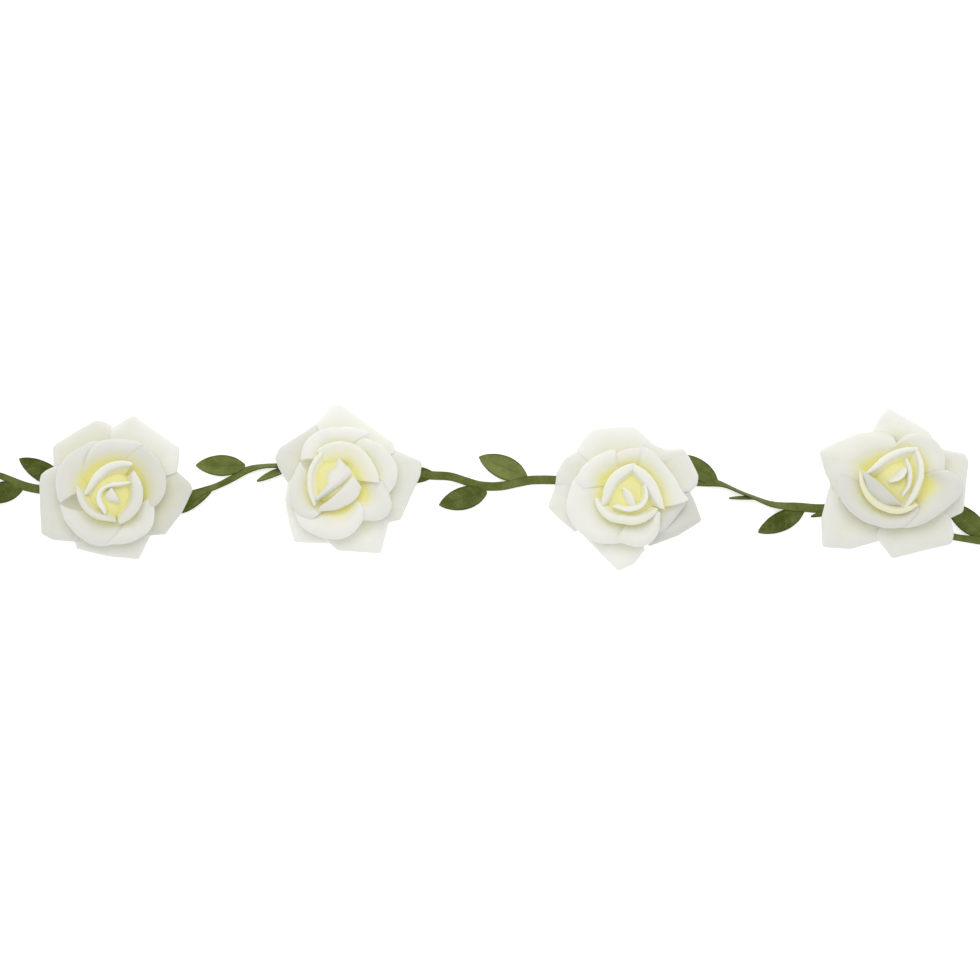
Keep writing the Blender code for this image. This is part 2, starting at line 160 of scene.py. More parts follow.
def unitGrid(tree, columns, rows):   # a flat grid, and how far along and across it a point is
    grid = addNode(tree, "GeometryNodeMeshGrid",
                   {"Size X": 1.0, "Size Y": 1.0, "Vertices X": columns, "Vertices Y": rows})
    mapped = storeValue(tree, grid.outputs["Mesh"], "UVMap", grid.outputs["UV Map"], "FLOAT2", "CORNER")
    place = splitXyz(tree, readPosition(tree))
    return mapped, plus(tree, place[0], 0.5), plus(tree, place[1], 0.5)


def leftOf(tree, heading):   # the level direction to the left of a heading
    x, y, _ = splitXyz(tree, heading)
    return calcVector(tree, "NORMALIZE", joinXyz(tree, times(tree, y, -1.0), x, 0.0))


def roll(tree, flat, raised, sine, cosine):   # a point of a cross-section, turned about its middle
    sideways = minus(tree, times(tree, flat, cosine), times(tree, raised, sine))
    return sideways, plus(tree, times(tree, flat, sine), times(tree, raised, cosine))


def lineMesh(name, lines):   # chains of points, each with the number of its line
    points, edges, numbers = [], [], []
    for number, line in enumerate(lines):
        first = len(points)
        points += [Vector(point) for point in line]
        edges += [(i, i + 1) for i in range(first, len(points) - 1)]
        numbers += [float(number)] * len(line)
    mesh = bpy.data.meshes.new(name)
    mesh.from_pydata(points, edges, [])
    mesh.attributes.new("line", "FLOAT", "POINT").data.foreach_set("value", numbers)
    return mesh


def addObject(name, content):
    made = bpy.data.objects.new(name, content)
    bpy.context.scene.collection.objects.link(made)
    return made


# Runs a tree on a mesh, gives a sheet its thickness and rounded edges, returns a plain mesh
def shapeMesh(mesh, tree, values, thickness=0.0):
    holder = addObject(mesh.name, mesh)
    nodes = holder.modifiers.new("shape", "NODES")
    nodes.node_group = tree
    for item in tree.interface.items_tree:
        if item.in_out == "INPUT" and item.name in values:
            nodes[item.identifier] = values[item.name]
    if thickness:
        wall = holder.modifiers.new("thickness", "SOLIDIFY")
        wall.thickness, wall.offset = thickness, 0.0
        smooth = holder.modifiers.new("rounding", "SUBSURF")
        smooth.levels = smooth.render_levels = 1
    seen = holder.evaluated_get(bpy.context.evaluated_depsgraph_get())
    made = bpy.data.meshes.new_from_object(seen)
    bpy.data.objects.remove(holder, do_unlink=True)
    return made


def joinPiece(name, meshes, surface):   # one object at the origin from several meshes
    shape = bmesh.new()
    for mesh in meshes:
        shape.from_mesh(mesh)
        bpy.data.meshes.remove(mesh)
    for face in shape.faces:
        face.smooth = True
        face.material_index = 0
    joined = bpy.data.meshes.new(name)
    shape.to_mesh(joined)
    shape.free()
    for label in ("along", "across", "width", "fold", "turned", "base", "tip"):
        if label in joined.attributes:
            joined.attributes.remove(joined.attributes[label])
    joined.materials.clear()
    joined.materials.append(surface)
    return addObject(name, joined)


# Helpers for materials
def newMaterial(name, values):
    material = bpy.data.materials.new(name)
    material.use_nodes = True
    shader = material.node_tree.nodes["Principled BSDF"]
    for label, value in values.items():
        shader.inputs[label].default_value = value
    return material, material.node_tree, shader


def objectPlace(tree):
    return addNode(tree, "ShaderNodeTexCoord").outputs["Object"]


def readFactor(tree, name):   # a value stored on the mesh
    return addNode(tree, "ShaderNodeAttribute", attribute_name=name).outputs["Fac"]


def mixColour(tree, factor, *colours):
    node = addNode(tree, "ShaderNodeMix", {0: factor}, data_type="RGBA")
    for slot, colour in zip((6, 7), colours):
        linked = isinstance(colour, bpy.types.NodeSocket)
        feed(tree, colour if linked else (*colour, 1.0), node.inputs[slot])
    return node.outputs[2]


def dress(tree, shader, colour, roughness, relief, bump):
    normal = addNode(tree, "ShaderNodeBump", {"Height": relief, "Strength": bump[0], "Distance": bump[1]})
    for label, term in (("Base Color", colour), ("Roughness", roughness), ("Normal", normal.outputs[0])):
        feed(tree, term, shader.inputs[label])


# Soft foam: ivory, airbrushed yellow in the throat, each petal's painted light and shade. In all looks a
# range is low, high and what they turn into; patches, drift, grain, wear and clouds are noise: scale,
# detail, roughness; bump is strength and depth in metres; the tone in dye is how much yellow weakens
# the painted light and shade
foamLook = {
    "white": (0.93, 0.93, 0.87), "cool": (0.90, 0.905, 0.83), "cream": (0.945, 0.93, 0.68),
    "yellow": (0.93, 0.89, 0.37), "patches": (60.0, 3.0), "patchRange": (0.35, 0.65),
    "drift": (156.0, 3.0), "driftRange": (0.2, 0.8, 0.8, 1.1), "creamRange": (0.0, 0.35),
    "yellowRange": (0.25, 1.0), "toneAndShadeInDye": -0.7, "cellScale": 2200.0, "cellShare": 0.6,
    "grain": (880.0, 3.0), "bump": (0.35, 0.00008), "roughRange": (0.3, 0.7, 0.62, 0.8),
}


def foamMaterial(look):
    material, tree, shader = newMaterial("ivory foam", {
        "Subsurface Weight": 0.15, "Subsurface Scale": 0.001, "Subsurface Radius": (1.0, 0.95, 0.8),
        "Sheen Weight": 0.1, "Sheen Roughness": 0.5, "IOR": 1.4})
    place = objectPlace(tree)
    drift = ramp(tree, noise(tree, place, *look["drift"]), *look["driftRange"])
    patch = ramp(tree, noise(tree, place, *look["patches"]), *look["patchRange"])
    dye = calc(tree, "MULTIPLY", readFactor(tree, "throat"), drift, clamp=True)
    ivory = mixColour(tree, patch, look["white"], look["cool"])
    cream = mixColour(tree, ramp(tree, dye, *look["creamRange"]), ivory, look["cream"])
    dyed = mixColour(tree, ramp(tree, dye, *look["yellowRange"]), cream, look["yellow"])
    # Each petal's tone is painted light and shade: whole petals made lighter or darker as light falls on
    # them, weaker where the foam is dyed
    toneAndShadeShare = calc(tree, "MULTIPLY_ADD", dye, look["toneAndShadeInDye"], 1.0)
    light = calc(tree, "MULTIPLY_ADD", readFactor(tree, "toneAndShade"), toneAndShadeShare, 1.0)
    cells = addNode(tree, "ShaderNodeTexVoronoi", {"Vector": place, "Scale": look["cellScale"]}).outputs[0]
    grain = noise(tree, place, *look["grain"])
    dress(tree, shader, scaled(tree, dyed, light), ramp(tree, grain, *look["roughRange"], "LINEAR"),
          plus(tree, times(tree, cells, look["cellShare"]), grain), look["bump"])
    return material


# Olive satin ribbon: woven threads, a pressed midrib with painted crease shade, worn light veins and darker
# cut edges
satinLook = {
    "dark": (0.065, 0.088, 0.006), "light": (0.205, 0.245, 0.062), "rib": (0.03, 0.042, 0.004),
    "vein": (0.30, 0.35, 0.13), "patches": (130.0, 5.0, 0.7), "patchRange": (0.34, 0.66, -0.22, 0.22),
    # the rib share darkens the midrib: painted shade of its crease
    "ribRange": (0.03, 0.10, 1.0, 0.0), "ribCreaseShade": 0.2, "edgeRange": (0.8, 1.0, 0.0, 0.75),
    "veins": 7.0, "veinSlant": 1.1, "veinRange": (0.0, 0.09, 1.0, 0.0), "veinInk": 0.3,
    "veinEnds": (0.75, 0.95, 1.0, 0.0), "veinPress": 0.6, "press": 0.6, "wear": (420.0, 2.0),
    "wearRange": (0.4, 0.65), "threadTurns": (0.9, -0.68), "threadScale": 260.0, "crossShare": 0.3,
    "bump": (0.5, 0.00005), "roughRange": (0.0, 1.0, 0.62, 0.48),
}


def satinMaterial(look):
    material, tree, shader = newMaterial(
        "olive satin", {"Sheen Weight": 0.03, "Sheen Roughness": 0.35, "Specular IOR Level": 0.18})
    place, leafy = objectPlace(tree), readFactor(tree, "leafy")
    along, across, _ = splitXyz(tree, addNode(tree, "ShaderNodeUVMap", uv_map="UVMap").outputs[0])
    side = times(tree, calc(tree, "ABSOLUTE", minus(tree, across, 0.5)), 2.0)
    patch = ramp(tree, noise(tree, place, *look["patches"]), *look["patchRange"])
    shade = calc(tree, "ADD", readFactor(tree, "toneAndShade"), patch, clamp=True)
    cloth = mixColour(tree, shade, look["dark"], look["light"])
    rib = times(tree, ramp(tree, side, *look["ribRange"]), leafy)
    slant = minus(tree, times(tree, along, look["veins"]), times(tree, side, look["veinSlant"]))
    wave = calc(tree, "ABSOLUTE", minus(tree, calc(tree, "FRACT", slant), 0.5))
    vein = times(tree, ramp(tree, wave, *look["veinRange"]), leafy, ramp(tree, side, *look["veinEnds"]))
    worn = ramp(tree, noise(tree, place, *look["wear"]), *look["wearRange"])
    veined = mixColour(tree, times(tree, vein, worn, look["veinInk"]), cloth, look["vein"])
    # Painted shade along the midrib's crease, and the real darker cut edges, both darken towards the rib
    # colour
    edgeInkAndCreaseShade = calc(tree, "MAXIMUM", times(tree, rib, look["ribCreaseShade"]), ramp(tree, side, *look["edgeRange"]))
    threads = []
    for turn in look["threadTurns"]:
        mapped = addNode(tree, "ShaderNodeMapping", {"Vector": place, "Rotation": (0, 0, turn)})
        thread = addNode(tree, "ShaderNodeTexWave", {
            "Vector": mapped.outputs[0], "Scale": look["threadScale"], "Distortion": 0.6, "Detail": 1.0})
        threads.append(thread.outputs["Fac"])
    weave = calc(tree, "MULTIPLY_ADD", threads[0], 1.0 - look["crossShare"],
                 times(tree, threads[1], look["crossShare"]))
    marks = calc(tree, "MAXIMUM", rib, times(tree, vein, look["veinPress"]))
    dress(tree, shader, mixColour(tree, edgeInkAndCreaseShade, veined, look["rib"]),
          ramp(tree, weave, *look["roughRange"], "LINEAR"),
          minus(tree, weave, times(tree, marks, look["press"])), look["bump"])
    return material


# Milky hot-melt glue with small bubbles
glueLook = {
    "cloudy": (0.80, 0.77, 0.66), "clear": (0.90, 0.88, 0.80), "clouds": (500.0, 4.0),
    "bubbleScale": 900.0, "bump": (0.3, 0.0001), "roughRange": (0.3, 0.7, 0.22, 0.38),
}


def glueMaterial(look):
    material, tree, shader = newMaterial("hot-melt glue", {
        "Subsurface Weight": 0.4, "Subsurface Scale": 0.003, "IOR": 1.48, "Coat Weight": 0.3,
        "Coat Roughness": 0.15})
    place = objectPlace(tree)
    clouds = noise(tree, place, *look["clouds"])
    bubbles = addNode(tree, "ShaderNodeTexVoronoi", {"Vector": place, "Scale": look["bubbleScale"]})
    dress(tree, shader, mixColour(tree, clouds, look["cloudy"], look["clear"]),
          ramp(tree, clouds, *look["roughRange"], "LINEAR"), bubbles.outputs[0], look["bump"])
    return material


foam, satin, glue = foamMaterial(foamLook), satinMaterial(satinLook), glueMaterial(glueLook)
print("materials mixed")

# What petals share, lengths in mm: tuck and tuckReach, how many degrees a tucked end runs on and to
# what share of its reach; over and under, how far an end is raised or sunk; endZone, the share of a
# petal that does so; where and how much outer petals fold down; tallest, the height that curves call
# 1; endPower and endLip, how suddenly ends droop and how much lip they lose; widestLip, the lip's
# largest share
petalSettings = {
    "columns": 30, "outerColumns": 60, "rows": 15, "sheet": 1.0, "tuck": 8.0, "tuckReach": 0.95,
    "over": 0.6, "under": 1.8, "endZone": 0.32, "foldRadius": 32.0, "foldShare": 0.22, "tallest": 40.0,
    "ripple": 0.9, "rippleScale": 70.0, "seedStep": 10.0, "endPower": 3.0, "endLip": -0.65,
    "widestLip": 0.5, "cornerPoints": 8,
}
# Each kind of petal: its root radius, end drop, lip width and corner radius in mm; its side view as
# (row, share of wall, share of lip, height in mm); and how much yellow each row has
petalForms = {
    "outer": {"root": 8.0, "drop": 0.8, "lip": 0.0, "corner": 0.6,
              "side": [(0, 0, 0, 8.0), (0.22, 0.28, 0, 10.6), (0.42, 0.52, 0, 12.3), (0.58, 0.70, 0, 12.9),
                       (0.74, 0.86, 0, 12.7), (0.86, 0.96, 0, 11.8), (0.94, 1, 0, 10.4),
                       (1, 0.975, 0, 9.4)],
              "yellow": [(0, 0.14), (0.4, 0.14), (0.54, 0.11), (0.7, 0.02), (0.8, 0), (1, 0)]},
    "middle": {"root": 6.5, "drop": 1.2, "lip": 0.0, "corner": 12.0,
               "side": [(0, 0, 0, 17.0), (0.18, 0.26, 0, 18.0), (0.36, 0.46, 0, 19.8), (0.52, 0.60, 0, 21.3),
                        (0.66, 0.73, 0, 22.4), (0.80, 0.86, 0, 22.7), (0.92, 0.97, 0, 22.0),
                        (1, 1, 0, 21.0)],
               "yellow": [(0, 1), (0.34, 0.9), (0.46, 0.45), (0.6, 0.13), (0.74, 0.03), (1, 0)]},
    "broad": {"root": 6.5, "drop": 1.0, "lip": 0.0, "corner": 2.0,
              "side": [(0, 0, 0, 17.0), (0.15, 0.2, 0, 18.0), (0.3, 0.36, 0, 19.6), (0.45, 0.49, 0, 21.0),
                       (0.6, 0.62, 0, 21.6), (0.78, 0.8, 0, 19.6), (0.92, 0.95, 0, 15.6), (1, 1, 0, 13.4)],
              "yellow": [(0, 1), (0.3, 0.95), (0.42, 0.7), (0.56, 0.2), (0.75, 0.03), (1, 0)]},
    "inner": {"root": 5.0, "drop": 3.0, "lip": 2.6, "corner": 20.0,
              "side": [(0, 0, 0, 21.0), (0.28, 0.5, 0, 22.6), (0.5, 0.8, 0, 25.0), (0.68, 1, 0, 27.6),
                       (0.82, 1, 0.42, 28.8), (0.93, 1, 0.85, 28.4), (1, 1, 1, 27.6)],
              "yellow": [(0, 1), (0.28, 0.95), (0.44, 0.62), (0.58, 0.18), (0.7, 0.03), (0.88, 0.08),
                         (1, 0.34)]},
    "flare": {"root": 5.0, "drop": 3.0, "lip": 0.0, "corner": 20.0,
              "side": [(0, 0, 0, 22.0), (0.25, 0.25, 0, 23.2), (0.5, 0.5, 0, 25.2), (0.7, 0.72, 0, 27.0),
                       (0.88, 0.92, 0, 28.2), (1, 1, 0, 27.6)],
              "yellow": [(0, 1), (0.3, 0.9), (0.5, 0.4), (0.66, 0.08), (0.8, 0), (1, 0)]},
    "heart": {"root": 2.5, "drop": 2.0, "lip": 1.9, "corner": 9.0,
              "side": [(0, 0, 0, 23.0), (0.33, 0.6, 0, 25.5), (0.66, 1, 0, 28.6), (0.83, 1, 0.5, 29.8),
                       (1, 1, 1, 29.2)],
              "yellow": [(0, 1), (0.4, 0.95), (0.6, 0.35), (0.72, 0.05), (1, 0)]},
    "closed": {"root": 5.0, "drop": 2.0, "lip": 0.0, "corner": 6.0,
               "side": [(0, 0, 0, 21.0), (0.25, 0.6, 0, 22.5), (0.5, 1, 0, 25.4), (0.75, 1, 0.25, 27.8),
                        (0.93, 1, 0.85, 30.0), (1, 1, 1, 30.2)],
               "yellow": [(0, 0.9), (0.25, 0.7), (0.42, 0.1), (0.6, 0), (1, 0)]},
}


def petalTree(kind):
    form, sizes = petalForms[kind], petalSettings
    tree, start = newTree(kind + " petal", [
        "Root Radius", "Lip Width", "End Drop", "Start Lift", "End Lift", "Lift", "Start Turn", "End Turn",
        "Fold Radius", "Fold Share", "Corner Radius", "Ripple", "Ripple Scale", "Seed", "Tone And Shade", "Dye",
        "Dye Reach"], ["Columns", "Rows"])
    grid, along, row = unitGrid(tree, start["Columns"], start["Rows"])

    def roundedLine(number):   # one of the chains that came in, with its corners rounded
        isLine = calc(tree, "COMPARE", readValue(tree, "line"), float(number), 0.1)
        chosen = addNode(tree, "GeometryNodeSeparateGeometry",
                         {"Geometry": start["Geometry"], "Selection": isLine})
        curve = addNode(tree, "GeometryNodeMeshToCurve", {0: chosen.outputs[0]})
        fillet = addNode(tree, "GeometryNodeFilletCurve", {
            "Curve": curve.outputs[0], "Count": sizes["cornerPoints"], "Radius": start["Corner Radius"],
            "Limit Radius": True}, mode="POLY")
        sample = addNode(tree, "GeometryNodeSampleCurve", {"Curves": fillet.outputs[0], "Factor": along})
        return sample.outputs["Position"]

    wall, lip, rise = (
        curveValue(tree, row, [(point[0], point[column] / most) for point in form["side"]])
        for column, most in ((1, 1.0), (2, 1.0), (3, sizes["tallest"])))
    rim = roundedLine(0)
    reach = calcVector(tree, "LENGTH", rim)
    ends = calc(tree, "POWER", calc(tree, "ABSOLUTE", centred(tree, along)), sizes["endPower"])
    if kind == "closed":   # out from the root to the belly line, then in again to the rim
        belly = roundedLine(1)
        root = scaled(tree, calcVector(tree, "NORMALIZE", belly), start["Root Radius"])
        toBelly = addNode(tree, "ShaderNodeMix", {0: wall, 4: root, 5: belly}, data_type="VECTOR").outputs[1]
        flat = addNode(tree, "ShaderNodeMix", {0: lip, 4: toBelly, 5: rim}, data_type="VECTOR").outputs[1]
        share = row
    else:   # straight out to the rim, with the ends turned more the nearer they are to the root
        span = minus(tree, reach, start["Root Radius"])
        lipWidth = calc(tree, "MINIMUM", start["Lip Width"], times(tree, span, sizes["widestLip"]))
        lipWidth = times(tree, lipWidth, calc(tree, "MULTIPLY_ADD", ends, sizes["endLip"], 1.0))
        out = plus(tree, times(tree, minus(tree, span, lipWidth), wall), times(tree, lipWidth, lip))
        share = calc(tree, "DIVIDE", out, span)
        turn = times(tree, ramp(tree, along, 0.0, 1.0, start["Start Turn"], start["End Turn"]),
                     minus(tree, 1.0, share))
        heading = addNode(tree, "ShaderNodeVectorRotate", {
            "Vector": calcVector(tree, "NORMALIZE", rim), "Angle": turn}, rotation_type="Z_AXIS").outputs[0]
        flat = scaled(tree, heading, plus(tree, out, start["Root Radius"]))
    spots = addNode(tree, "ShaderNodeTexNoise", {
        "Vector": flat, "W": start["Seed"], "Scale": start["Ripple Scale"], "Detail": 0.0},
        noise_dimensions="4D")
    ripple = times(tree, minus(tree, spots.outputs[0], 0.5), start["Ripple"])
    fold = calc(tree, "MAXIMUM", minus(tree, reach, start["Fold Radius"]), 0.0)
    sink = plus(tree, times(tree, start["End Drop"], ends), times(tree, fold, start["Fold Share"]))
    sink = minus(tree, sink, ripple)
    height = minus(tree, times(tree, rise, sizes["tallest"] * mm), times(tree, sink, share))
    for amount, label in ((share, "Lift"),
                          (ramp(tree, along, 0.0, sizes["endZone"], 1.0, 0.0), "Start Lift"),
                          (ramp(tree, along, 1.0 - sizes["endZone"], 1.0), "End Lift")):
        height = calc(tree, "MULTIPLY_ADD", amount, start[label], height)
    x, y, _ = splitXyz(tree, flat)
    reached = calc(tree, "DIVIDE", row, start["Dye Reach"], clamp=True)
    airbrushed = curveValue(tree, reached, form["yellow"])
    dyed = storeValue(tree, grid, "throat", plus(tree, airbrushed, start["Dye"]))
    # The petal's tone: painted light and shade for the whole petal
    dyed = storeValue(tree, dyed, "toneAndShade", start["Tone And Shade"])
    closeTree(tree, start, moveTo(tree, dyed, joinXyz(tree, x, y, height)))
    return tree


# The turned heart of a bloom that the petals are glued to, from the middle of its top to that of its
# foot: radius and height as shares of `most`, in mm; the rows where its yellow fades; its tone; weld,
# how near, in metres, points are joined
hubForm = {"sides": 40, "rows": 26, "most": 27.0, "fade": (0.5, 0.8, 0.84, 0.0), "toneAndShade": -0.05,
           "weld": 0.00002,
           "radius": [(0, 0), (0.2, 0.19), (0.42, 0.34), (0.6, 0.43), (0.75, 0.44), (0.88, 0.36), (1, 0)],
           "height": [(0, 0.96), (0.2, 0.95), (0.42, 0.9), (0.6, 0.79), (0.75, 0.42), (0.88, 0.11),
                      (1, 0.11)]}


def hubTree(form):
    tree, start = newTree("bloom hub", [], ["Sides", "Rows"])
    grid, along, row = unitGrid(tree, start["Sides"], start["Rows"])
    angle = times(tree, along, 2 * math.pi)
    radius, height = (times(tree, curveValue(tree, row, form[label]), form["most"] * mm)
                      for label in ("radius", "height"))
    spot = joinXyz(tree, times(tree, calc(tree, "COSINE", angle), radius),
                   times(tree, calc(tree, "SINE", angle), radius), height)
    dyed = storeValue(tree, grid, "throat", ramp(tree, row, *form["fade"]))
    dyed = storeValue(tree, dyed, "toneAndShade", form["toneAndShade"])
    closed = addNode(tree, "GeometryNodeMergeByDistance",
                     {"Geometry": moveTo(tree, dyed, spot), "Distance": form["weld"]})
    closeTree(tree, start, closed.outputs[0])
    return tree
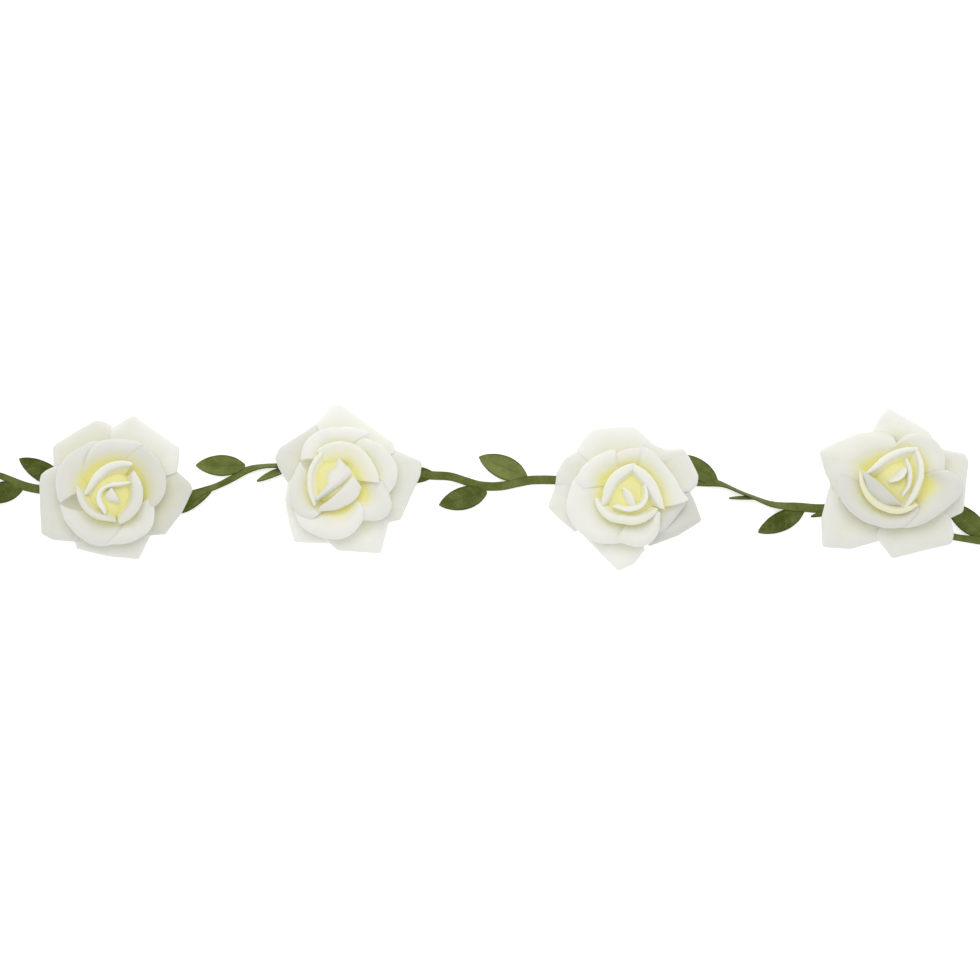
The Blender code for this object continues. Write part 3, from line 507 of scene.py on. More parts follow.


# Each bloom: the place of its axis in mm, and its petals anticlockwise: kind, rim as (degrees,
# reach in mm), and what sets it apart: its own lip width; the belly line of a closed petal; turn,
# how many degrees its two ends swing round towards the root; level, how much of `over` an end is
# raised above its neighbour, or of `under` sunk below it when negative; lift, how much higher the rim
# is than others, in mm; tone, painted light and shade: how much lighter or darker its foam is made than
# others as light falls on it; dye, how much more yellow it has all over, and how many times as far its
# airbrushed throat reaches
rosePlaces = {"rose_1": (-185.2, -3.4), "rose_2": (-75.0, 2.9), "rose_3": (68.1, -4.9),
              "rose_4": (199.4, 2.0)}
rosePetals = {"rose_1": [
    ("outer", [(-47, 27.5), (-37, 32.5), (-14.5, 35.3), (2.5, 39.2), (7.5, 38.6), (22, 32.5)],
     {"level": (0, -1), "toneAndShade": -0.17, "dye": (0.04, 1.2)}),
    ("outer", [(18, 33), (27, 36.5), (35, 40), (55, 37.5), (75, 40), (92, 32)], {"level": (1, 1)}),
    ("outer", [(84, 31), (97, 36), (103, 37), (122, 35.5), (141, 37.5), (157, 31)],
     {"level": (-1, -1), "toneAndShade": -0.06, "dye": (0.05, 1.2)}),
    ("outer", [(151, 29.6), (160.5, 34.3), (165, 36.3), (171, 36.2), (190, 36), (209, 40), (217, 37),
               (234, 29)], {"level": (1, 1), "toneAndShade": -0.11}),
    ("outer", [(228, 28.5), (237, 32), (265, 30.5), (292, 34.5), (315, 27)],
     {"level": (-1, -1), "toneAndShade": -0.05}),
    ("middle", [(-20, 21), (-4, 26.5), (16, 28.5), (37, 29), (58, 29)],
     {"turn": (-41, 17), "level": (-1, 1), "toneAndShade": -0.15, "dye": (0.05, 1.1)}),
    ("middle", [(50, 29.5), (65, 28.5), (82, 27), (98, 26.5), (108, 25)],
     {"turn": (17, 75), "level": (-1, 1), "toneAndShade": -0.09}),
    ("middle", [(104, 26.5), (111, 27.5), (137, 28), (156, 28.5), (171, 27), (186, 25.8), (191, 24.6)],
     {"turn": (50, -26), "level": (-1, 0.6), "toneAndShade": -0.11, "dye": (0.02, 0.95)}),
    ("middle", [(191, 25.1), (210, 25.6), (228, 25.7), (245, 26.3), (259, 26.1), (267, 25)],
     {"turn": (40, 63), "level": (0.3, -1), "toneAndShade": -0.09, "dye": (0.0, 0.72)}),
    ("middle", [(263, 24.6), (280, 24.8), (292, 25.7), (314, 26.4), (324, 25.7), (340, 23.1), (352, 20.5),
                (356, 19.3)], {"turn": (63, -41), "level": (1, 1), "toneAndShade": -0.06, "dye": (0.02, 0.88)}),
    ("inner", [(-72, 15.4), (-61, 16), (-34, 16.5), (-10, 17), (17, 17), (44, 16.5)],
     {"lip": 5.0, "toneAndShade": -0.08, "dye": (0.03, 1.1)}),
    ("inner", [(52, 18.7), (63, 18.5), (88, 15.5), (121, 13), (182, 12.5)],
     {"lip": 3.9, "toneAndShade": -0.02, "dye": (0.0, 1.05)}),
    ("inner", [(166, 16.5), (189, 15.5), (213, 14.5), (241, 14), (284, 14)],
     {"level": (0, -0.5), "toneAndShade": -0.1, "dye": (0.04, 1.1)}),
    ("heart", [(28, 12.5), (71, 5.8), (167, 6.8), (222, 7.4), (261, 10.5)], {"lip": 3.2, "toneAndShade": 0.03}),
    ("closed", [(62, 3.4), (1, 3.5), (-36, 6.5)],
     {"belly": [(86, 2.5), (192, 2.1), (238, 3.4), (-67, 4.1), (-40, 6.6)], "toneAndShade": -0.04}),
], "rose_2": [
    ("outer", [(-42, 31), (-31, 36.5), (-11, 37), (4, 40.9), (13, 42.7), (31, 31)],
     {"level": (0, -1), "toneAndShade": -0.04}),
    ("outer", [(26, 31.5), (34, 33.5), (64, 32), (88, 38), (93, 38), (110, 30)],
     {"level": (1, 1), "toneAndShade": 0.07}),
    ("outer", [(103, 31), (129, 29), (150, 32.5), (159, 32.5), (167, 29.3), (186, 23)],
     {"level": (-1, -1), "toneAndShade": -0.1}),
    ("outer", [(178, 23.5), (200, 27), (222, 31.5), (235, 36.5), (260, 31)],
     {"level": (0, -1), "toneAndShade": 0.07}),
    ("outer", [(256, 28.5), (271, 34), (288, 36.5), (301, 41.5), (323, 32)], {"level": (1, 1), "toneAndShade": 0.04}),
    ("middle", [(-55, 23), (-48, 26), (-35, 32), (-22, 29), (1, 23.5)],
     {"turn": (10, 0), "level": (0, 1), "toneAndShade": -0.04, "dye": (0.0, 0.92)}),
    ("middle", [(-14, 26), (1, 30.5), (17, 30.5), (37, 28.5), (60, 25)],
     {"turn": (0, 30), "level": (-1, -1)}),
    ("middle", [(54, 28.5), (74, 27.5), (88, 26), (105, 26.5), (130, 25), (150, 20)],
     {"turn": (30, -40), "level": (1, 0.3), "toneAndShade": 0.03}),
    ("middle", [(151, 19.8), (176, 21.5), (200, 25.5), (220, 24.5), (238, 22.3)],
     {"turn": (30, 20), "level": (0.3, 1), "toneAndShade": -0.05}),
    ("middle", [(223, 26.5), (234, 28.5), (254, 28.5), (279, 29.5), (295, 25), (304, 23), (314, 21)],
     {"turn": (20, 10), "level": (-1, 1), "dye": (0.02, 0.85)}),
    ("flare", [(-3, 21), (9, 21.5), (44, 20.5), (70, 20.5), (100, 19.5), (122, 17.5)],
     {"turn": (5, 0), "toneAndShade": 0.03, "dye": (0.12, 1.1)}),
    ("inner", [(111, 16), (139, 15.5), (170, 14), (202, 14.5), (230, 16)],
     {"lip": 2.0, "toneAndShade": 0.03, "dye": (0.05, 1.0)}),
    ("closed", [(-121, 14.8), (-93, 6.8), (-23, 4.9), (19, 8.9)],
     {"belly": [(-120.5, 16.9), (-91, 13.9), (-57, 12.8), (-37, 12.9), (-13, 12.6)],
      "lift": -2.4, "toneAndShade": -0.03, "dye": (0.07, 1.0)}),
    ("closed", [(223, 13.6), (226, 9.2), (234, 2.6), (38, 4), (58, 9.2)],
     {"belly": [(221, 12.6), (202, 3.9), (139, 6.7), (84, 6.8), (86.5, 12.2)],
      "lift": -2.2, "toneAndShade": -0.02, "dye": (0.06, 1.0)}),
    ("closed", [(222, 13.4), (222.5, 9.0), (218, 2.4), (49, 4.1), (57, 9.1)],
     {"belly": [(223, 14.4), (233, 9), (318, 3.5), (19, 7.9), (34, 9.2)],
      "lift": -1.6, "dye": (0.03, 1.0)}),
], "rose_3": [
    ("outer", [(-68, 26), (-38, 30.5), (-18, 37.5), (-3, 32), (15, 28)], {"level": (0, -1), "toneAndShade": -0.18}),
    ("outer", [(5, 30), (10.5, 34), (17, 35.6), (24, 35.3), (33, 35.4), (41, 35.8), (51, 29.5),
               (74, 28.5)], {"level": (1, 1), "toneAndShade": -0.05}),
    ("outer", [(69, 29.5), (86, 35), (102, 35), (117, 37.5), (127, 36.5), (139, 34)],
     {"level": (-1, 1), "toneAndShade": 0.03}),
    ("outer", [(134, 32.5), (148, 36.5), (161, 37.3), (176, 36.5)], {"level": (-1, -1), "toneAndShade": -0.04}),
    ("outer", [(169, 36), (187, 40), (198, 35.5), (213, 31.5)], {"level": (1, 1)}),
    ("outer", [(205, 30), (221, 29), (244, 31), (262, 36.5), (274, 33), (287, 27)],
     {"level": (-1, 0), "toneAndShade": 0.07}),
    ("middle", [(-48, 24), (-22, 25), (-2, 29.5), (6, 26)],
     {"turn": (0, -25), "level": (-1, -1), "lift": -7.0, "toneAndShade": -0.13}),
    ("middle", [(-3, 29), (9, 25), (23, 24), (51, 23.5), (66, 25.5), (77, 25)],
     {"turn": (-25, 0), "level": (1, 1), "dye": (0.0, 1.12)}),
    ("middle", [(70, 25.5), (90, 23.5), (110, 22)],
     {"turn": (0, 10), "level": (-1, -1), "toneAndShade": -0.04, "dye": (0.0, 1.3)}),
    ("middle", [(107, 23.5), (111, 25), (132, 26), (152, 28), (165, 27), (174, 25.3)],
     {"turn": (10, -25), "level": (1, 0), "toneAndShade": 0.03}),
    ("middle", [(166, 29), (190, 32), (209, 31), (234, 28), (256, 23.2)],
     {"turn": (-25, 21), "level": (-0.4, -1), "toneAndShade": 0.02, "dye": (0.0, 0.66)}),
    ("middle", [(250, 22), (273, 24), (290, 27), (310, 22), (334, 16.5)],
     {"turn": (21, 0), "level": (1, 1), "dye": (0.0, 0.7)}),
    ("inner", [(-20, 18), (0, 15.5), (24, 14.5), (49, 14.8), (79, 16.2), (90, 16)],
     {"lip": 5.4, "toneAndShade": 0.02}),
    ("inner", [(80, 16.8), (112, 16.2), (153, 14), (197, 14.5)], {"lip": 6.6, "toneAndShade": 0.02}),
    ("inner", [(181, 17), (206, 18), (234, 15), (277, 14), (315, 15.5), (338, 15)],
     {"lip": 3.8, "lift": -2.0, "toneAndShade": 0.02, "dye": (0.05, 1.0)}),
    ("heart", [(206, 10), (261, 7.5), (321, 8.5), (366, 9.5), (402, 9.5)],
     {"lip": 1.9, "toneAndShade": 0.03, "dye": (0.05, 0.9)}),
    ("closed", [(-56, 5.3), (-40, 2.8), (60, 2.0), (117, 4.8), (135, 6)],
     {"belly": [(-68, 6.4), (-110, 3.2), (160, 3.2), (128, 5.6), (132, 6.4)], "toneAndShade": 0.05}),
], "rose_4": [
    ("outer", [(-38, 27), (-32.5, 31.6), (-23.5, 35.6), (-14, 34.4), (0, 34), (17, 37), (23, 36.5),
               (38, 27)], {"level": (-1, -1), "toneAndShade": -0.06}),
    ("outer", [(35, 26.5), (59, 30), (85, 33), (96, 37), (104, 33.5), (117, 27)],
     {"level": (1, 1), "toneAndShade": 0.03}),
    ("outer", [(108, 25), (128, 29.5), (143, 33), (157, 38), (172, 35), (189, 29)],
     {"level": (-1, 0), "toneAndShade": -0.08}),
    ("outer", [(184, 33), (206, 41), (221, 48), (235, 39.5), (255, 29)], {"level": (-1, -1), "toneAndShade": -0.04}),
    ("outer", [(248, 28), (267, 37), (290, 35.5), (312, 40.3), (317.5, 38.1), (328, 31)],
     {"level": (1, 0), "toneAndShade": -0.03}),
    ("middle", [(-83, 22.5), (-60, 23.2), (-43, 24.2), (-30, 26.1), (-12, 30.6), (-2, 31.4), (4, 29.5),
                (13, 25.6), (18, 21)],
     {"turn": (20, 0), "level": (-1, 1), "toneAndShade": -0.12, "dye": (0.03, 0.86)}),
    ("middle", [(13, 22.5), (31, 26.5), (49, 28), (67, 26.5), (80, 23.3)],
     {"turn": (0, 60), "level": (-1, 0.3), "toneAndShade": -0.03}),
    ("broad", [(95, 22.8), (103, 25.8), (127, 30.7), (144, 34.9), (158, 41.6), (173, 35.3), (187, 30.8)],
     {"turn": (-8, 0), "level": (0, -1), "toneAndShade": -0.05, "dye": (0.08, 0.78)}),
    ("middle", [(160, 27.5), (173, 29), (190, 30.5), (207, 28), (226, 25.7), (247, 23.3), (269, 22.5),
                (280, 20.5), (296, 19), (308, 16.8)], {"turn": (10, 10), "level": (-1.2, 1), "toneAndShade": -0.12}),
    ("inner", [(-81, 13.5), (-46, 10.5), (5, 11), (38, 15.5), (66, 18.8)],
     {"lip": 2.6, "toneAndShade": 0.03, "dye": (0.02, 1.0)}),
    ("inner", [(62, 19.2), (86, 17.5), (123, 15.5), (164, 17)],
     {"lip": 2.8, "toneAndShade": 0.03, "dye": (0.02, 1.0)}),
    ("inner", [(163, 20.5), (190, 19.5), (221, 17.5), (255, 15.5), (282, 15.2), (311, 14)],
     {"lip": 2.4, "lift": -1.2, "toneAndShade": -0.05, "dye": (0.26, 1.0)}),
    ("closed", [(161, 20), (180, 10), (225, 7), (271, 10)],
     {"belly": [(172, 16.9), (195, 15.9), (232, 12.8), (275, 10.9)], "toneAndShade": -0.17}),
    ("heart", [(-82, 7), (-30, 4.9), (23, 6.2), (54, 9), (77, 12.6)], {"lip": 2.0, "toneAndShade": 0.01}),
    ("closed", [(62, 7.1), (51, 3.7), (138, 1.4), (180, 5.4)],
     {"belly": [(74, 8.6), (110, 4.6), (170, 5.7)], "toneAndShade": 0.02, "dye": (0.06, 1.0)}),
]}


def liftEnd(level):   # how far an end is raised or sunk, in metres
    return level * mm * petalSettings["over" if level > 0 else "under"]


def tuckEnds(rim, levels):   # an end that lies under the next petal runs on below it
    spare, share, line = petalSettings["tuck"], petalSettings["tuckReach"], list(rim)
    if levels[0] < 0:
        line.insert(0, (line[0][0] - spare, line[0][1] * share))
    if levels[1] < 0:
        line.append((line[-1][0] + spare, line[-1][1] * share))
    return line


def polarLine(line):   # (degrees, reach in mm) to points in metres
    return [(reach * mm * math.cos(math.radians(turn)), reach * mm * math.sin(math.radians(turn)), 0)
            for turn, reach in line]


def makeRose(name, trees, hub):
    centre, sizes, meshes = rosePlaces[name], petalSettings, []
    for number, (kind, rim, own) in enumerate(rosePetals[name]):
        form, levels, turns = petalForms[kind], own.get("level", (0, 0)), own.get("turn", (0, 0))
        dye, tucked = own.get("dye", (0.0, 1.0)), kind in ("outer", "middle", "broad")
        lines = [polarLine(tuckEnds(rim, levels) if tucked else rim)]
        if "belly" in own:
            lines.append(polarLine(own["belly"]))
        values = {
            "Root Radius": form["root"] * mm, "End Drop": form["drop"] * mm,
            "Lip Width": own.get("lip", form["lip"]) * mm, "Corner Radius": form["corner"] * mm,
            "Lift": own.get("lift", 0.0) * mm,
            "Start Lift": liftEnd(levels[0]), "End Lift": liftEnd(levels[1]),
            "Start Turn": math.radians(turns[0]), "End Turn": math.radians(turns[1]),
            "Fold Radius": sizes["foldRadius"] * mm,
            "Fold Share": sizes["foldShare"] if kind == "outer" else 0.0,
            "Columns": sizes["outerColumns" if kind in ("outer", "broad") else "columns"],
            "Rows": sizes["rows"], "Ripple": sizes["ripple"] * mm, "Ripple Scale": sizes["rippleScale"],
            "Seed": number + sizes["seedStep"] * centre[0], "Tone And Shade": own.get("toneAndShade", 0.0),
            "Dye": dye[0], "Dye Reach": dye[1], "Surface": foam}
        meshes.append(shapeMesh(lineMesh(name + " petal", lines), trees[kind], values, sizes["sheet"] * mm))
    hubValues = {"Sides": hubForm["sides"], "Rows": hubForm["rows"], "Surface": foam}
    meshes.append(shapeMesh(lineMesh(name + " hub", [[(0, 0, 0)]]), hub, hubValues))
    piece = joinPiece(name + "_petals", meshes, foam)
    piece.data.transform(Matrix.Translation((centre[0] * mm, centre[1] * mm, 0)))
    return piece


petalTrees = {kind: petalTree(kind) for kind in petalForms}
bloomHub = hubTree(hubForm)
for name in rosePlaces:
    bloom = makeRose(name, petalTrees, bloomHub)
    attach(bloom, "root")
    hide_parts(name)
    print(name, "has", len(rosePetals[name]), "petals,", len(bloom.data.polygons), "faces")


# The ribbon, in mm: crown, crease and curl are heights; creaseZone and curlZone are the parts of a
# leaf's half width that they take up; waves is noise as scale and detail. Then its stem's route:
# x, y, lift and degrees turned to its edge; each leaf: base, tip, width, degrees folded, degrees
# turned, lift of base and tip, tone from dark 0 to light 1
ribbonSettings = {
    "stemWidth": 4.4, "sheet": 0.7, "stemSteps": 420, "stemAcross": 7, "crown": 0.25, "stemTone": 0.45,
    "smoothness": 16, "leafAlong": 26, "leafAcross": 13, "crease": 0.35, "creaseZone": (0.0, 0.35),
    "curl": 0.5, "curlZone": (0.5, 1.0), "waves": (1.3, 1.0),
}
stemRoute = [
    (-253.0, 8.9, 0.3, 58), (-241.6, 5.8, 0.5, 48), (-229.2, 0.4, 0.5, 0), (-216.0, -1.9, 0.0, 0),
    (-198.0, -3.2, 0.0, 0), (-172.0, -3.6, 0.0, 0), (-152.0, -4.6, 0.0, 0),
    (-137.1, -0.5, 0.6, -45), (-127.2, 4.0, 0.6, -42), (-119.8, 8.2, 0.4, -38), (-112.4, 10.1, 0.0, -60),
    (-104.5, 10.4, 0.0, -60), (-95.0, 9.3, 0.0, -25), (-84.0, 7.2, 0.0, 0), (-66.0, 6.4, 0.0, 0),
    (-50.0, 6.6, 0.0, 0), (-35.5, 6.4, 0.4, 0), (-28.6, 5.7, 0.7, 10), (-19.7, 5.2, 1.0, 18),
    (-12.3, 3.0, 0.9, 24), (-4.9, 0.7, 0.5, 0), (4.9, 0.4, 1.0, 0), (14.8, 2.4, 1.3, 0),
    (22.2, 3.5, 0.9, 0), (36.0, 3.1, 0.0, 0), (56.0, 0.2, 0.0, 0), (78.0, 0.0, 0.0, 0),
    (94.0, 2.4, 0.0, 0), (103.5, 2.5, 0.2, 0), (111.9, 1.8, 0.4, -42), (116.8, 0.3, 0.2, -66),
    (123.3, -2.6, 0.0, -72), (130.6, -5.5, 0.0, -68), (138.0, -8.3, 0.1, -52),
    (145.0, -9.4, 0.6, -36), (152.8, -9.9, 0.8, 0), (164.2, -10.6, 0.2, 0), (180.0, -9.0, 0.0, 0),
    (191.0, -6.4, 0.0, 0), (202.0, -9.0, 0.0, 0), (212.0, -16.5, 0.0, 0),
    (220.0, -22.0, 0.0, 0), (228.3, -24.5, 0.4, 45), (241.6, -26.4, 0.8, 25), (253.0, -28.3, 0.6, 15),
]
leaves = [
    ((-230.2, -0.8), (-252.9, -4.8), 10.8, 8, 0, 0.6, 0.4, 0.16),
    ((-208.8, 1.3), (-232.1, 14.0), 10.5, 12, 0, 0.3, 0.6, 0.10),
    ((-193.5, -4.5), (-214.0, -15.0), 11.0, 3, 0, 0.1, 0.0, 0.40),
    ((-167.0, -2.0), (-189.0, 9.8), 9.0, 3, 0, 0.1, 0.0, 0.40),
    ((-136.2, 0.5), (-152.5, -12.9), 7.6, 12, 32, 0.6, 0.3, 0.25),
    ((-120.6, 10.5), (-145.1, 10.7), 10.6, 8, 0, 0.9, 0.6, 0.62),
    ((-98.5, 9.2), (-115.0, 2.8), 7.6, 6, 62, 0.2, 0.3, 0.80),
    ((-80.0, 8.0), (-97.0, 17.5), 10.0, 3, 0, 0.1, 0.0, 0.40),
    ((-55.0, 5.0), (-76.0, -6.0), 10.0, 3, 0, 0.1, 0.0, 0.40),
    ((-27.0, 6.2), (-51.8, 5.8), 8.8, 8, 0, 0.6, 0.4, 0.15),
    ((-1.5, -2.4), (-25.2, -8.9), 11.6, 10, 0, 0.5, 0.3, 0.33),
    ((18.2, 4.8), (-5.5, 14.9), 11.8, 8, 0, 0.6, 0.5, 0.87),
    ((57.0, -1.0), (37.0, -11.0), 10.0, 3, 0, 0.1, 0.0, 0.40),
    ((89.0, 2.2), (69.5, 14.0), 9.5, 3, 0, 0.1, 0.0, 0.40),
    ((112.2, 1.9), (93.0, 15.9), 9.8, 10, 0, 0.3, 0.5, 0.50),
    # This edge-turned leaf gets the lightest tone: painted light that lifts the shade on its turned face
    ((132.6, -5.8), (117.6, -5.5), 6.6, 4, 77, 0.3, 0.3, 1.0),
    ((154.7, -11.6), (132.0, -22.4), 10.0, 10, 0, 0.5, 0.3, 0.16),
    ((181.0, -9.2), (157.9, -14.6), 7.0, 4, 60, 0.1, 0.3, 0.30),
    ((204.0, -5.6), (182.0, 6.5), 8.0, 2, 0, 0.1, 0.0, 0.40),
    ((218.5, -20.5), (197.0, -27.0), 9.5, 3, 0, 0.1, 0.0, 0.30),
    ((244.9, -24.7), (224.6, -7.9), 11.3, 12, 0, 0.6, 0.6, 0.38),
]
leafOutline = [(0, 0.13), (0.1, 0.5), (0.25, 0.84), (0.45, 1.0), (0.65, 0.89), (0.8, 0.65), (0.9, 0.41),
               (0.96, 0.21), (1, 0.02)]


def stemTree():
    tree, start = newTree("satin stem", ["Width", "Sheet", "Crown", "Tone And Shade"], ["Steps", "Across"])
    curve = addNode(tree, "GeometryNodeMeshToCurve", {0: start["Geometry"]})
    smooth = addNode(tree, "GeometryNodeCurveSplineType", {0: curve.outputs[0]}, spline_type="CATMULL_ROM")
    fine = addNode(tree, "GeometryNodeSetSplineResolution",
                   {0: smooth.outputs[0], "Resolution": ribbonSettings["smoothness"]})
    grid, along, across = unitGrid(tree, start["Steps"], start["Across"])
    sample = addNode(tree, "GeometryNodeSampleCurve", {
        "Curves": fine.outputs[0], "Value": readValue(tree, "turned"), "Factor": along})
    x, y, lift = splitXyz(tree, sample.outputs["Position"])
    turn = sample.outputs["Value"]
    sine, cosine = calc(tree, "SINE", turn), calc(tree, "COSINE", turn)
    half, offset = times(tree, start["Width"], 0.5), centred(tree, across)
    arch = minus(tree, 1.0, calc(tree, "POWER", calc(tree, "ABSOLUTE", offset), 2.0))
    sideways, up = roll(tree, times(tree, offset, half), times(tree, start["Crown"], arch), sine, cosine)
    height = plus(tree, calc(tree, "MAXIMUM", lift, 0.0), times(tree, half, calc(tree, "ABSOLUTE", sine)),
                  times(tree, start["Sheet"], 0.5, cosine), up)
    out = scaled(tree, leftOf(tree, sample.outputs["Tangent"]), sideways)
    outX, outY, _ = splitXyz(tree, out)
    placed = moveTo(tree, grid, joinXyz(tree, plus(tree, x, outX), plus(tree, y, outY), height))
    toned = storeValue(tree, placed, "toneAndShade", start["Tone And Shade"])
    closeTree(tree, start, storeValue(tree, toned, "leafy", 0.0))
    return tree


def leafTree():
    sizes = ribbonSettings
    tree, start = newTree("die-cut leaves", ["Sheet", "Crease", "Curl"], ["Along", "Across"])
    grid, along, across = unitGrid(tree, start["Along"], start["Across"])
    kept = storeValue(tree, storeValue(tree, grid, "along", along), "across", across)
    points = addNode(tree, "GeometryNodeMeshToPoints", {0: start["Geometry"]})
    copies = addNode(tree, "GeometryNodeInstanceOnPoints", {"Points": points.outputs[0], "Instance": kept})
    real = addNode(tree, "GeometryNodeRealizeInstances", {0: copies.outputs[0]})
    along, across, width, fold, turn = (
        readValue(tree, label) for label in ("along", "across", "width", "fold", "turned"))
    base, tip = readValue(tree, "base", "FLOAT_VECTOR"), readValue(tree, "tip", "FLOAT_VECTOR")
    outline = curveValue(tree, along, leafOutline)
    half, offset = times(tree, width, 0.5, outline), centred(tree, across)
    size, side, folded = calc(tree, "ABSOLUTE", offset), times(tree, offset, half), times(tree, fold, outline)
    flat = times(tree, side, calc(tree, "COSINE", folded))
    raised = times(tree, calc(tree, "ABSOLUTE", side), calc(tree, "SINE", folded))
    crease = times(tree, start["Crease"], outline, ramp(tree, size, *sizes["creaseZone"], -1.0, 0.0))
    waves = noise(tree, readPosition(tree), *sizes["waves"])
    curl = times(tree, times(tree, start["Curl"], ramp(tree, size, *sizes["curlZone"])),
                 times(tree, waves, outline))
    raised = plus(tree, raised, plus(tree, crease, curl))
    sine, cosine = calc(tree, "SINE", turn), calc(tree, "COSINE", turn)
    sideways, up = roll(tree, flat, raised, sine, cosine)
    run = calcVector(tree, "SUBTRACT", tip, base)
    middle = calcVector(tree, "ADD", base, scaled(tree, run, along))
    spot = calcVector(tree, "ADD", middle, scaled(tree, leftOf(tree, run), sideways))
    x, y, z = splitXyz(tree, spot)
    thin = times(tree, start["Sheet"], 0.5)
    lift = plus(tree, times(tree, half, sine), thin)
    height = calc(tree, "MAXIMUM", plus(tree, z, plus(tree, lift, up)), thin)
    placed = moveTo(tree, real.outputs[0], joinXyz(tree, x, y, height))
    closeTree(tree, start, storeValue(tree, placed, "leafy", 1.0))
    return tree


def makeRibbon():
    sizes = ribbonSettings
    route = lineMesh("stem route", [[(x * mm, y * mm, lift * mm) for x, y, lift, _ in stemRoute]])
    route.attributes.new("turned", "FLOAT", "POINT").data.foreach_set(
        "value", [math.radians(turned) for *_, turned in stemRoute])
    sheet = sizes["sheet"] * mm
    stem = shapeMesh(route, stemTree(), {
        "Width": sizes["stemWidth"] * mm, "Sheet": sheet, "Steps": sizes["stemSteps"],
        "Across": sizes["stemAcross"], "Crown": sizes["crown"] * mm, "Tone And Shade": sizes["stemTone"],
        "Surface": satin}, sheet)
    bases, tips, widths, folds, turns, baseLifts, tipLifts, tones = zip(*leaves)
    places = bpy.data.meshes.new("leaf places")
    places.from_pydata([(*base, 0) for base in bases], [], [])
    columns = {"width": [width * mm for width in widths], "fold": list(map(math.radians, folds)),
               "turned": list(map(math.radians, turns)), "toneAndShade": tones}
    for label, values in columns.items():
        places.attributes.new(label, "FLOAT", "POINT").data.foreach_set("value", values)
    for label, spots, lifts in (("base", bases, baseLifts), ("tip", tips, tipLifts)):
        flat = [value * mm for spot, lift in zip(spots, lifts) for value in (*spot, lift)]
        places.attributes.new(label, "FLOAT_VECTOR", "POINT").data.foreach_set("vector", flat)
    spray = shapeMesh(places, leafTree(), {
        "Sheet": sheet, "Along": sizes["leafAlong"], "Across": sizes["leafAcross"],
        "Crease": sizes["crease"] * mm, "Curl": sizes["curl"] * mm, "Surface": satin}, sheet)
    return joinPiece("satin_leaf_ribbon", [stem, spray], satin)


ribbon = makeRibbon()
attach(ribbon, "root")
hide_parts("leaf_ribbon")
print("ribbon has", len(leaves), "leaves,", len(ribbon.data.polygons), "faces")


# Dabs of hot glue, squeezed out between ribbon and bloom: radius, heights of underside and top and
# unevenness of the edge in mm; how round the side view is, from 0 square to 1; the edge's noise as
# scale and detail, and how far apart the dabs lie in it
glueSettings = {"radius": 5.4, "low": 0.7, "high": 3.0, "sides": 40, "rows": 14, "uneven": 0.9,
                "roundness": 0.45, "lobes": (0.9, 1.0), "spread": 60.0}
gluePlaces = {"glue_dab_1": (-185.2, -3.4), "glue_dab_2": (-75.0, 5.0), "glue_dab_3": (68.1, -2.2),
              "glue_dab_4": (199.2, -2.6)}


def glueTree(settings):
    tree, start = newTree("squeezed glue", ["Radius", "Low", "High", "Uneven"], ["Sides", "Rows"])
    ball = addNode(tree, "GeometryNodeMeshUVSphere",
                   {"Segments": start["Sides"], "Rings": start["Rows"], "Radius": 1.0})
    centre = addNode(tree, "GeometryNodeAttributeStatistic", {
        "Geometry": start["Geometry"], "Attribute": readPosition(tree)}, data_type="FLOAT_VECTOR")
    middle = centre.outputs["Mean"]
    x, y, z = splitXyz(tree, readPosition(tree))
    place = calcVector(tree, "ADD", scaled(tree, middle, settings["spread"]), joinXyz(tree, x, y, 0.0))
    lobes = noise(tree, place, *settings["lobes"])
    spread = plus(tree, start["Radius"], times(tree, centred(tree, lobes), start["Uneven"]))
    steep = calc(tree, "POWER", calc(tree, "ABSOLUTE", z), settings["roundness"])
    bulge = times(tree, calc(tree, "SIGN", z), steep)
    half = times(tree, minus(tree, start["High"], start["Low"]), 0.5)
    height = plus(tree, plus(tree, start["Low"], half), times(tree, half, bulge))
    spot = joinXyz(tree, times(tree, x, spread), times(tree, y, spread), height)
    closeTree(tree, start, moveTo(tree, ball.outputs[0], calcVector(tree, "ADD", spot, middle)))
    return tree


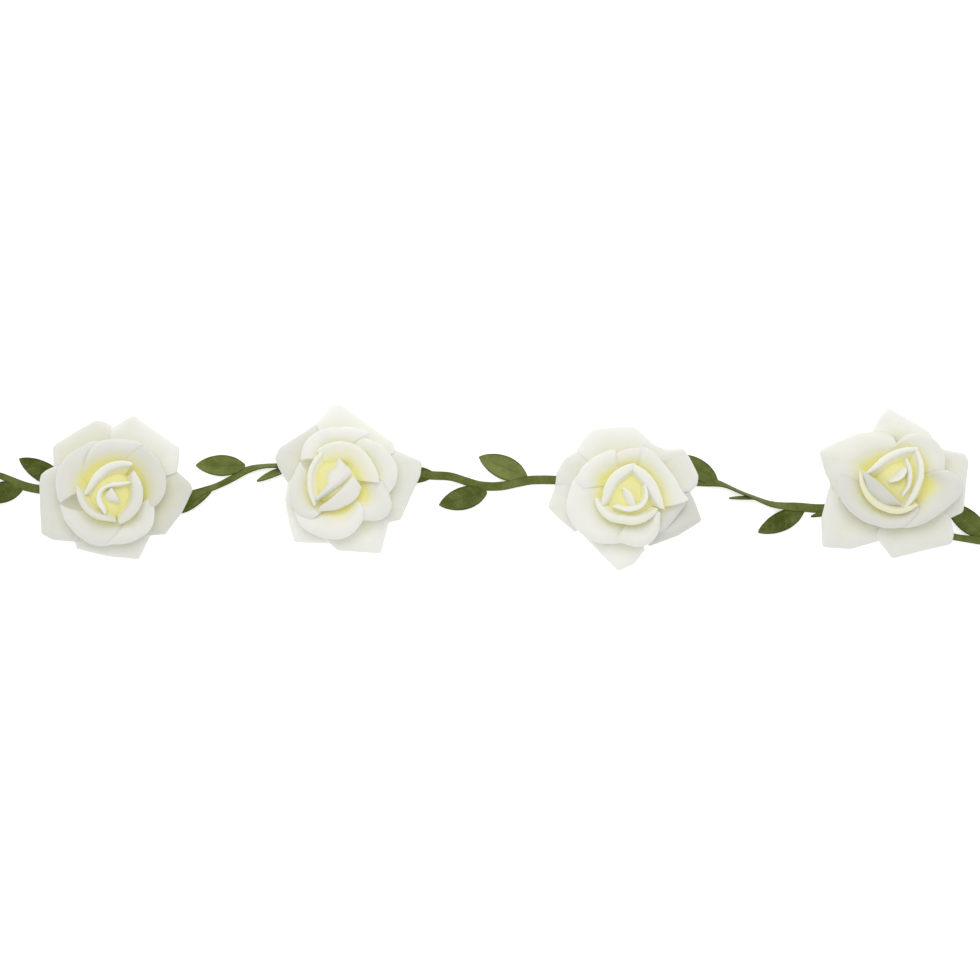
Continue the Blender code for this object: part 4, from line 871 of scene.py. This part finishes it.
squeezed = glueTree(glueSettings)
for name, (x, y) in gluePlaces.items():
    sizes = glueSettings
    dab = shapeMesh(lineMesh(name, [[(x * mm, y * mm, 0)]]), squeezed, {
        "Radius": sizes["radius"] * mm, "Low": sizes["low"] * mm, "High": sizes["high"] * mm,
        "Sides": sizes["sides"], "Rows": sizes["rows"], "Uneven": sizes["uneven"] * mm, "Surface": glue})
    piece = joinPiece(name.replace("glue_dab", "melted_glue"), [dab], glue)
    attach(piece, "root")
    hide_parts(name)
print("glue squeezed")


# Studio: a white table that glows a little, a broad soft light above it and an even fill
studio = {"tableSize": 6.0, "tableSides": 64, "tableDrop": -0.00005, "tableColour": (0.9, 0.9, 0.9, 1.0),
          "tableRoughness": 0.9, "tableGlow": 0.5, "worldLight": 0.665, "white": (1, 1, 1, 1),
          "keyPlace": (-0.1, 0.7, 1.7), "keySize": 1.4, "keyPower": 9.4}
# The camera looks straight down, as the photograph was taken; sensor and lens in mm, the rest in m
view = {"sensor": 36.0, "lens": 149.04, "near": 0.01, "place": (0, -0.00147, 2.0)}


def makeStudio(settings):
    shape = bmesh.new()
    bmesh.ops.create_circle(shape, cap_ends=True, segments=settings["tableSides"],
                            radius=settings["tableSize"])
    mesh = bpy.data.meshes.new("table")
    shape.to_mesh(mesh)
    shape.free()
    table = addObject("table", mesh)
    mesh.transform(Matrix.Translation((0, 0, settings["tableDrop"])))
    mesh.materials.append(newMaterial("white table", {
        "Base Color": settings["tableColour"], "Roughness": settings["tableRoughness"],
        "Emission Color": settings["white"], "Emission Strength": settings["tableGlow"]})[0])
    scene = bpy.context.scene
    scene.world = bpy.data.worlds.new("soft room")
    scene.world.use_nodes = True
    fill = scene.world.node_tree.nodes["Background"]
    fill.inputs[0].default_value, fill.inputs[1].default_value = settings["white"], settings["worldLight"]
    lamp = bpy.data.lights.new("key", "AREA")
    lamp.shape, lamp.size, lamp.energy = "DISK", settings["keySize"], settings["keyPower"]
    key = addObject("key", lamp)
    key.location = settings["keyPlace"]
    key.rotation_euler = (-Vector(settings["keyPlace"])).to_track_quat("-Z", "Y").to_euler()
    scene.view_settings.view_transform = "Standard"


def makeCamera(settings):
    lens = bpy.data.cameras.new("camera")
    lens.sensor_width, lens.lens, lens.clip_start = settings["sensor"], settings["lens"], settings["near"]
    camera = addObject("camera", lens)
    camera.location = settings["place"]
    bpy.context.scene.camera = camera


makeStudio(studio)
makeCamera(view)
print("studio lit")
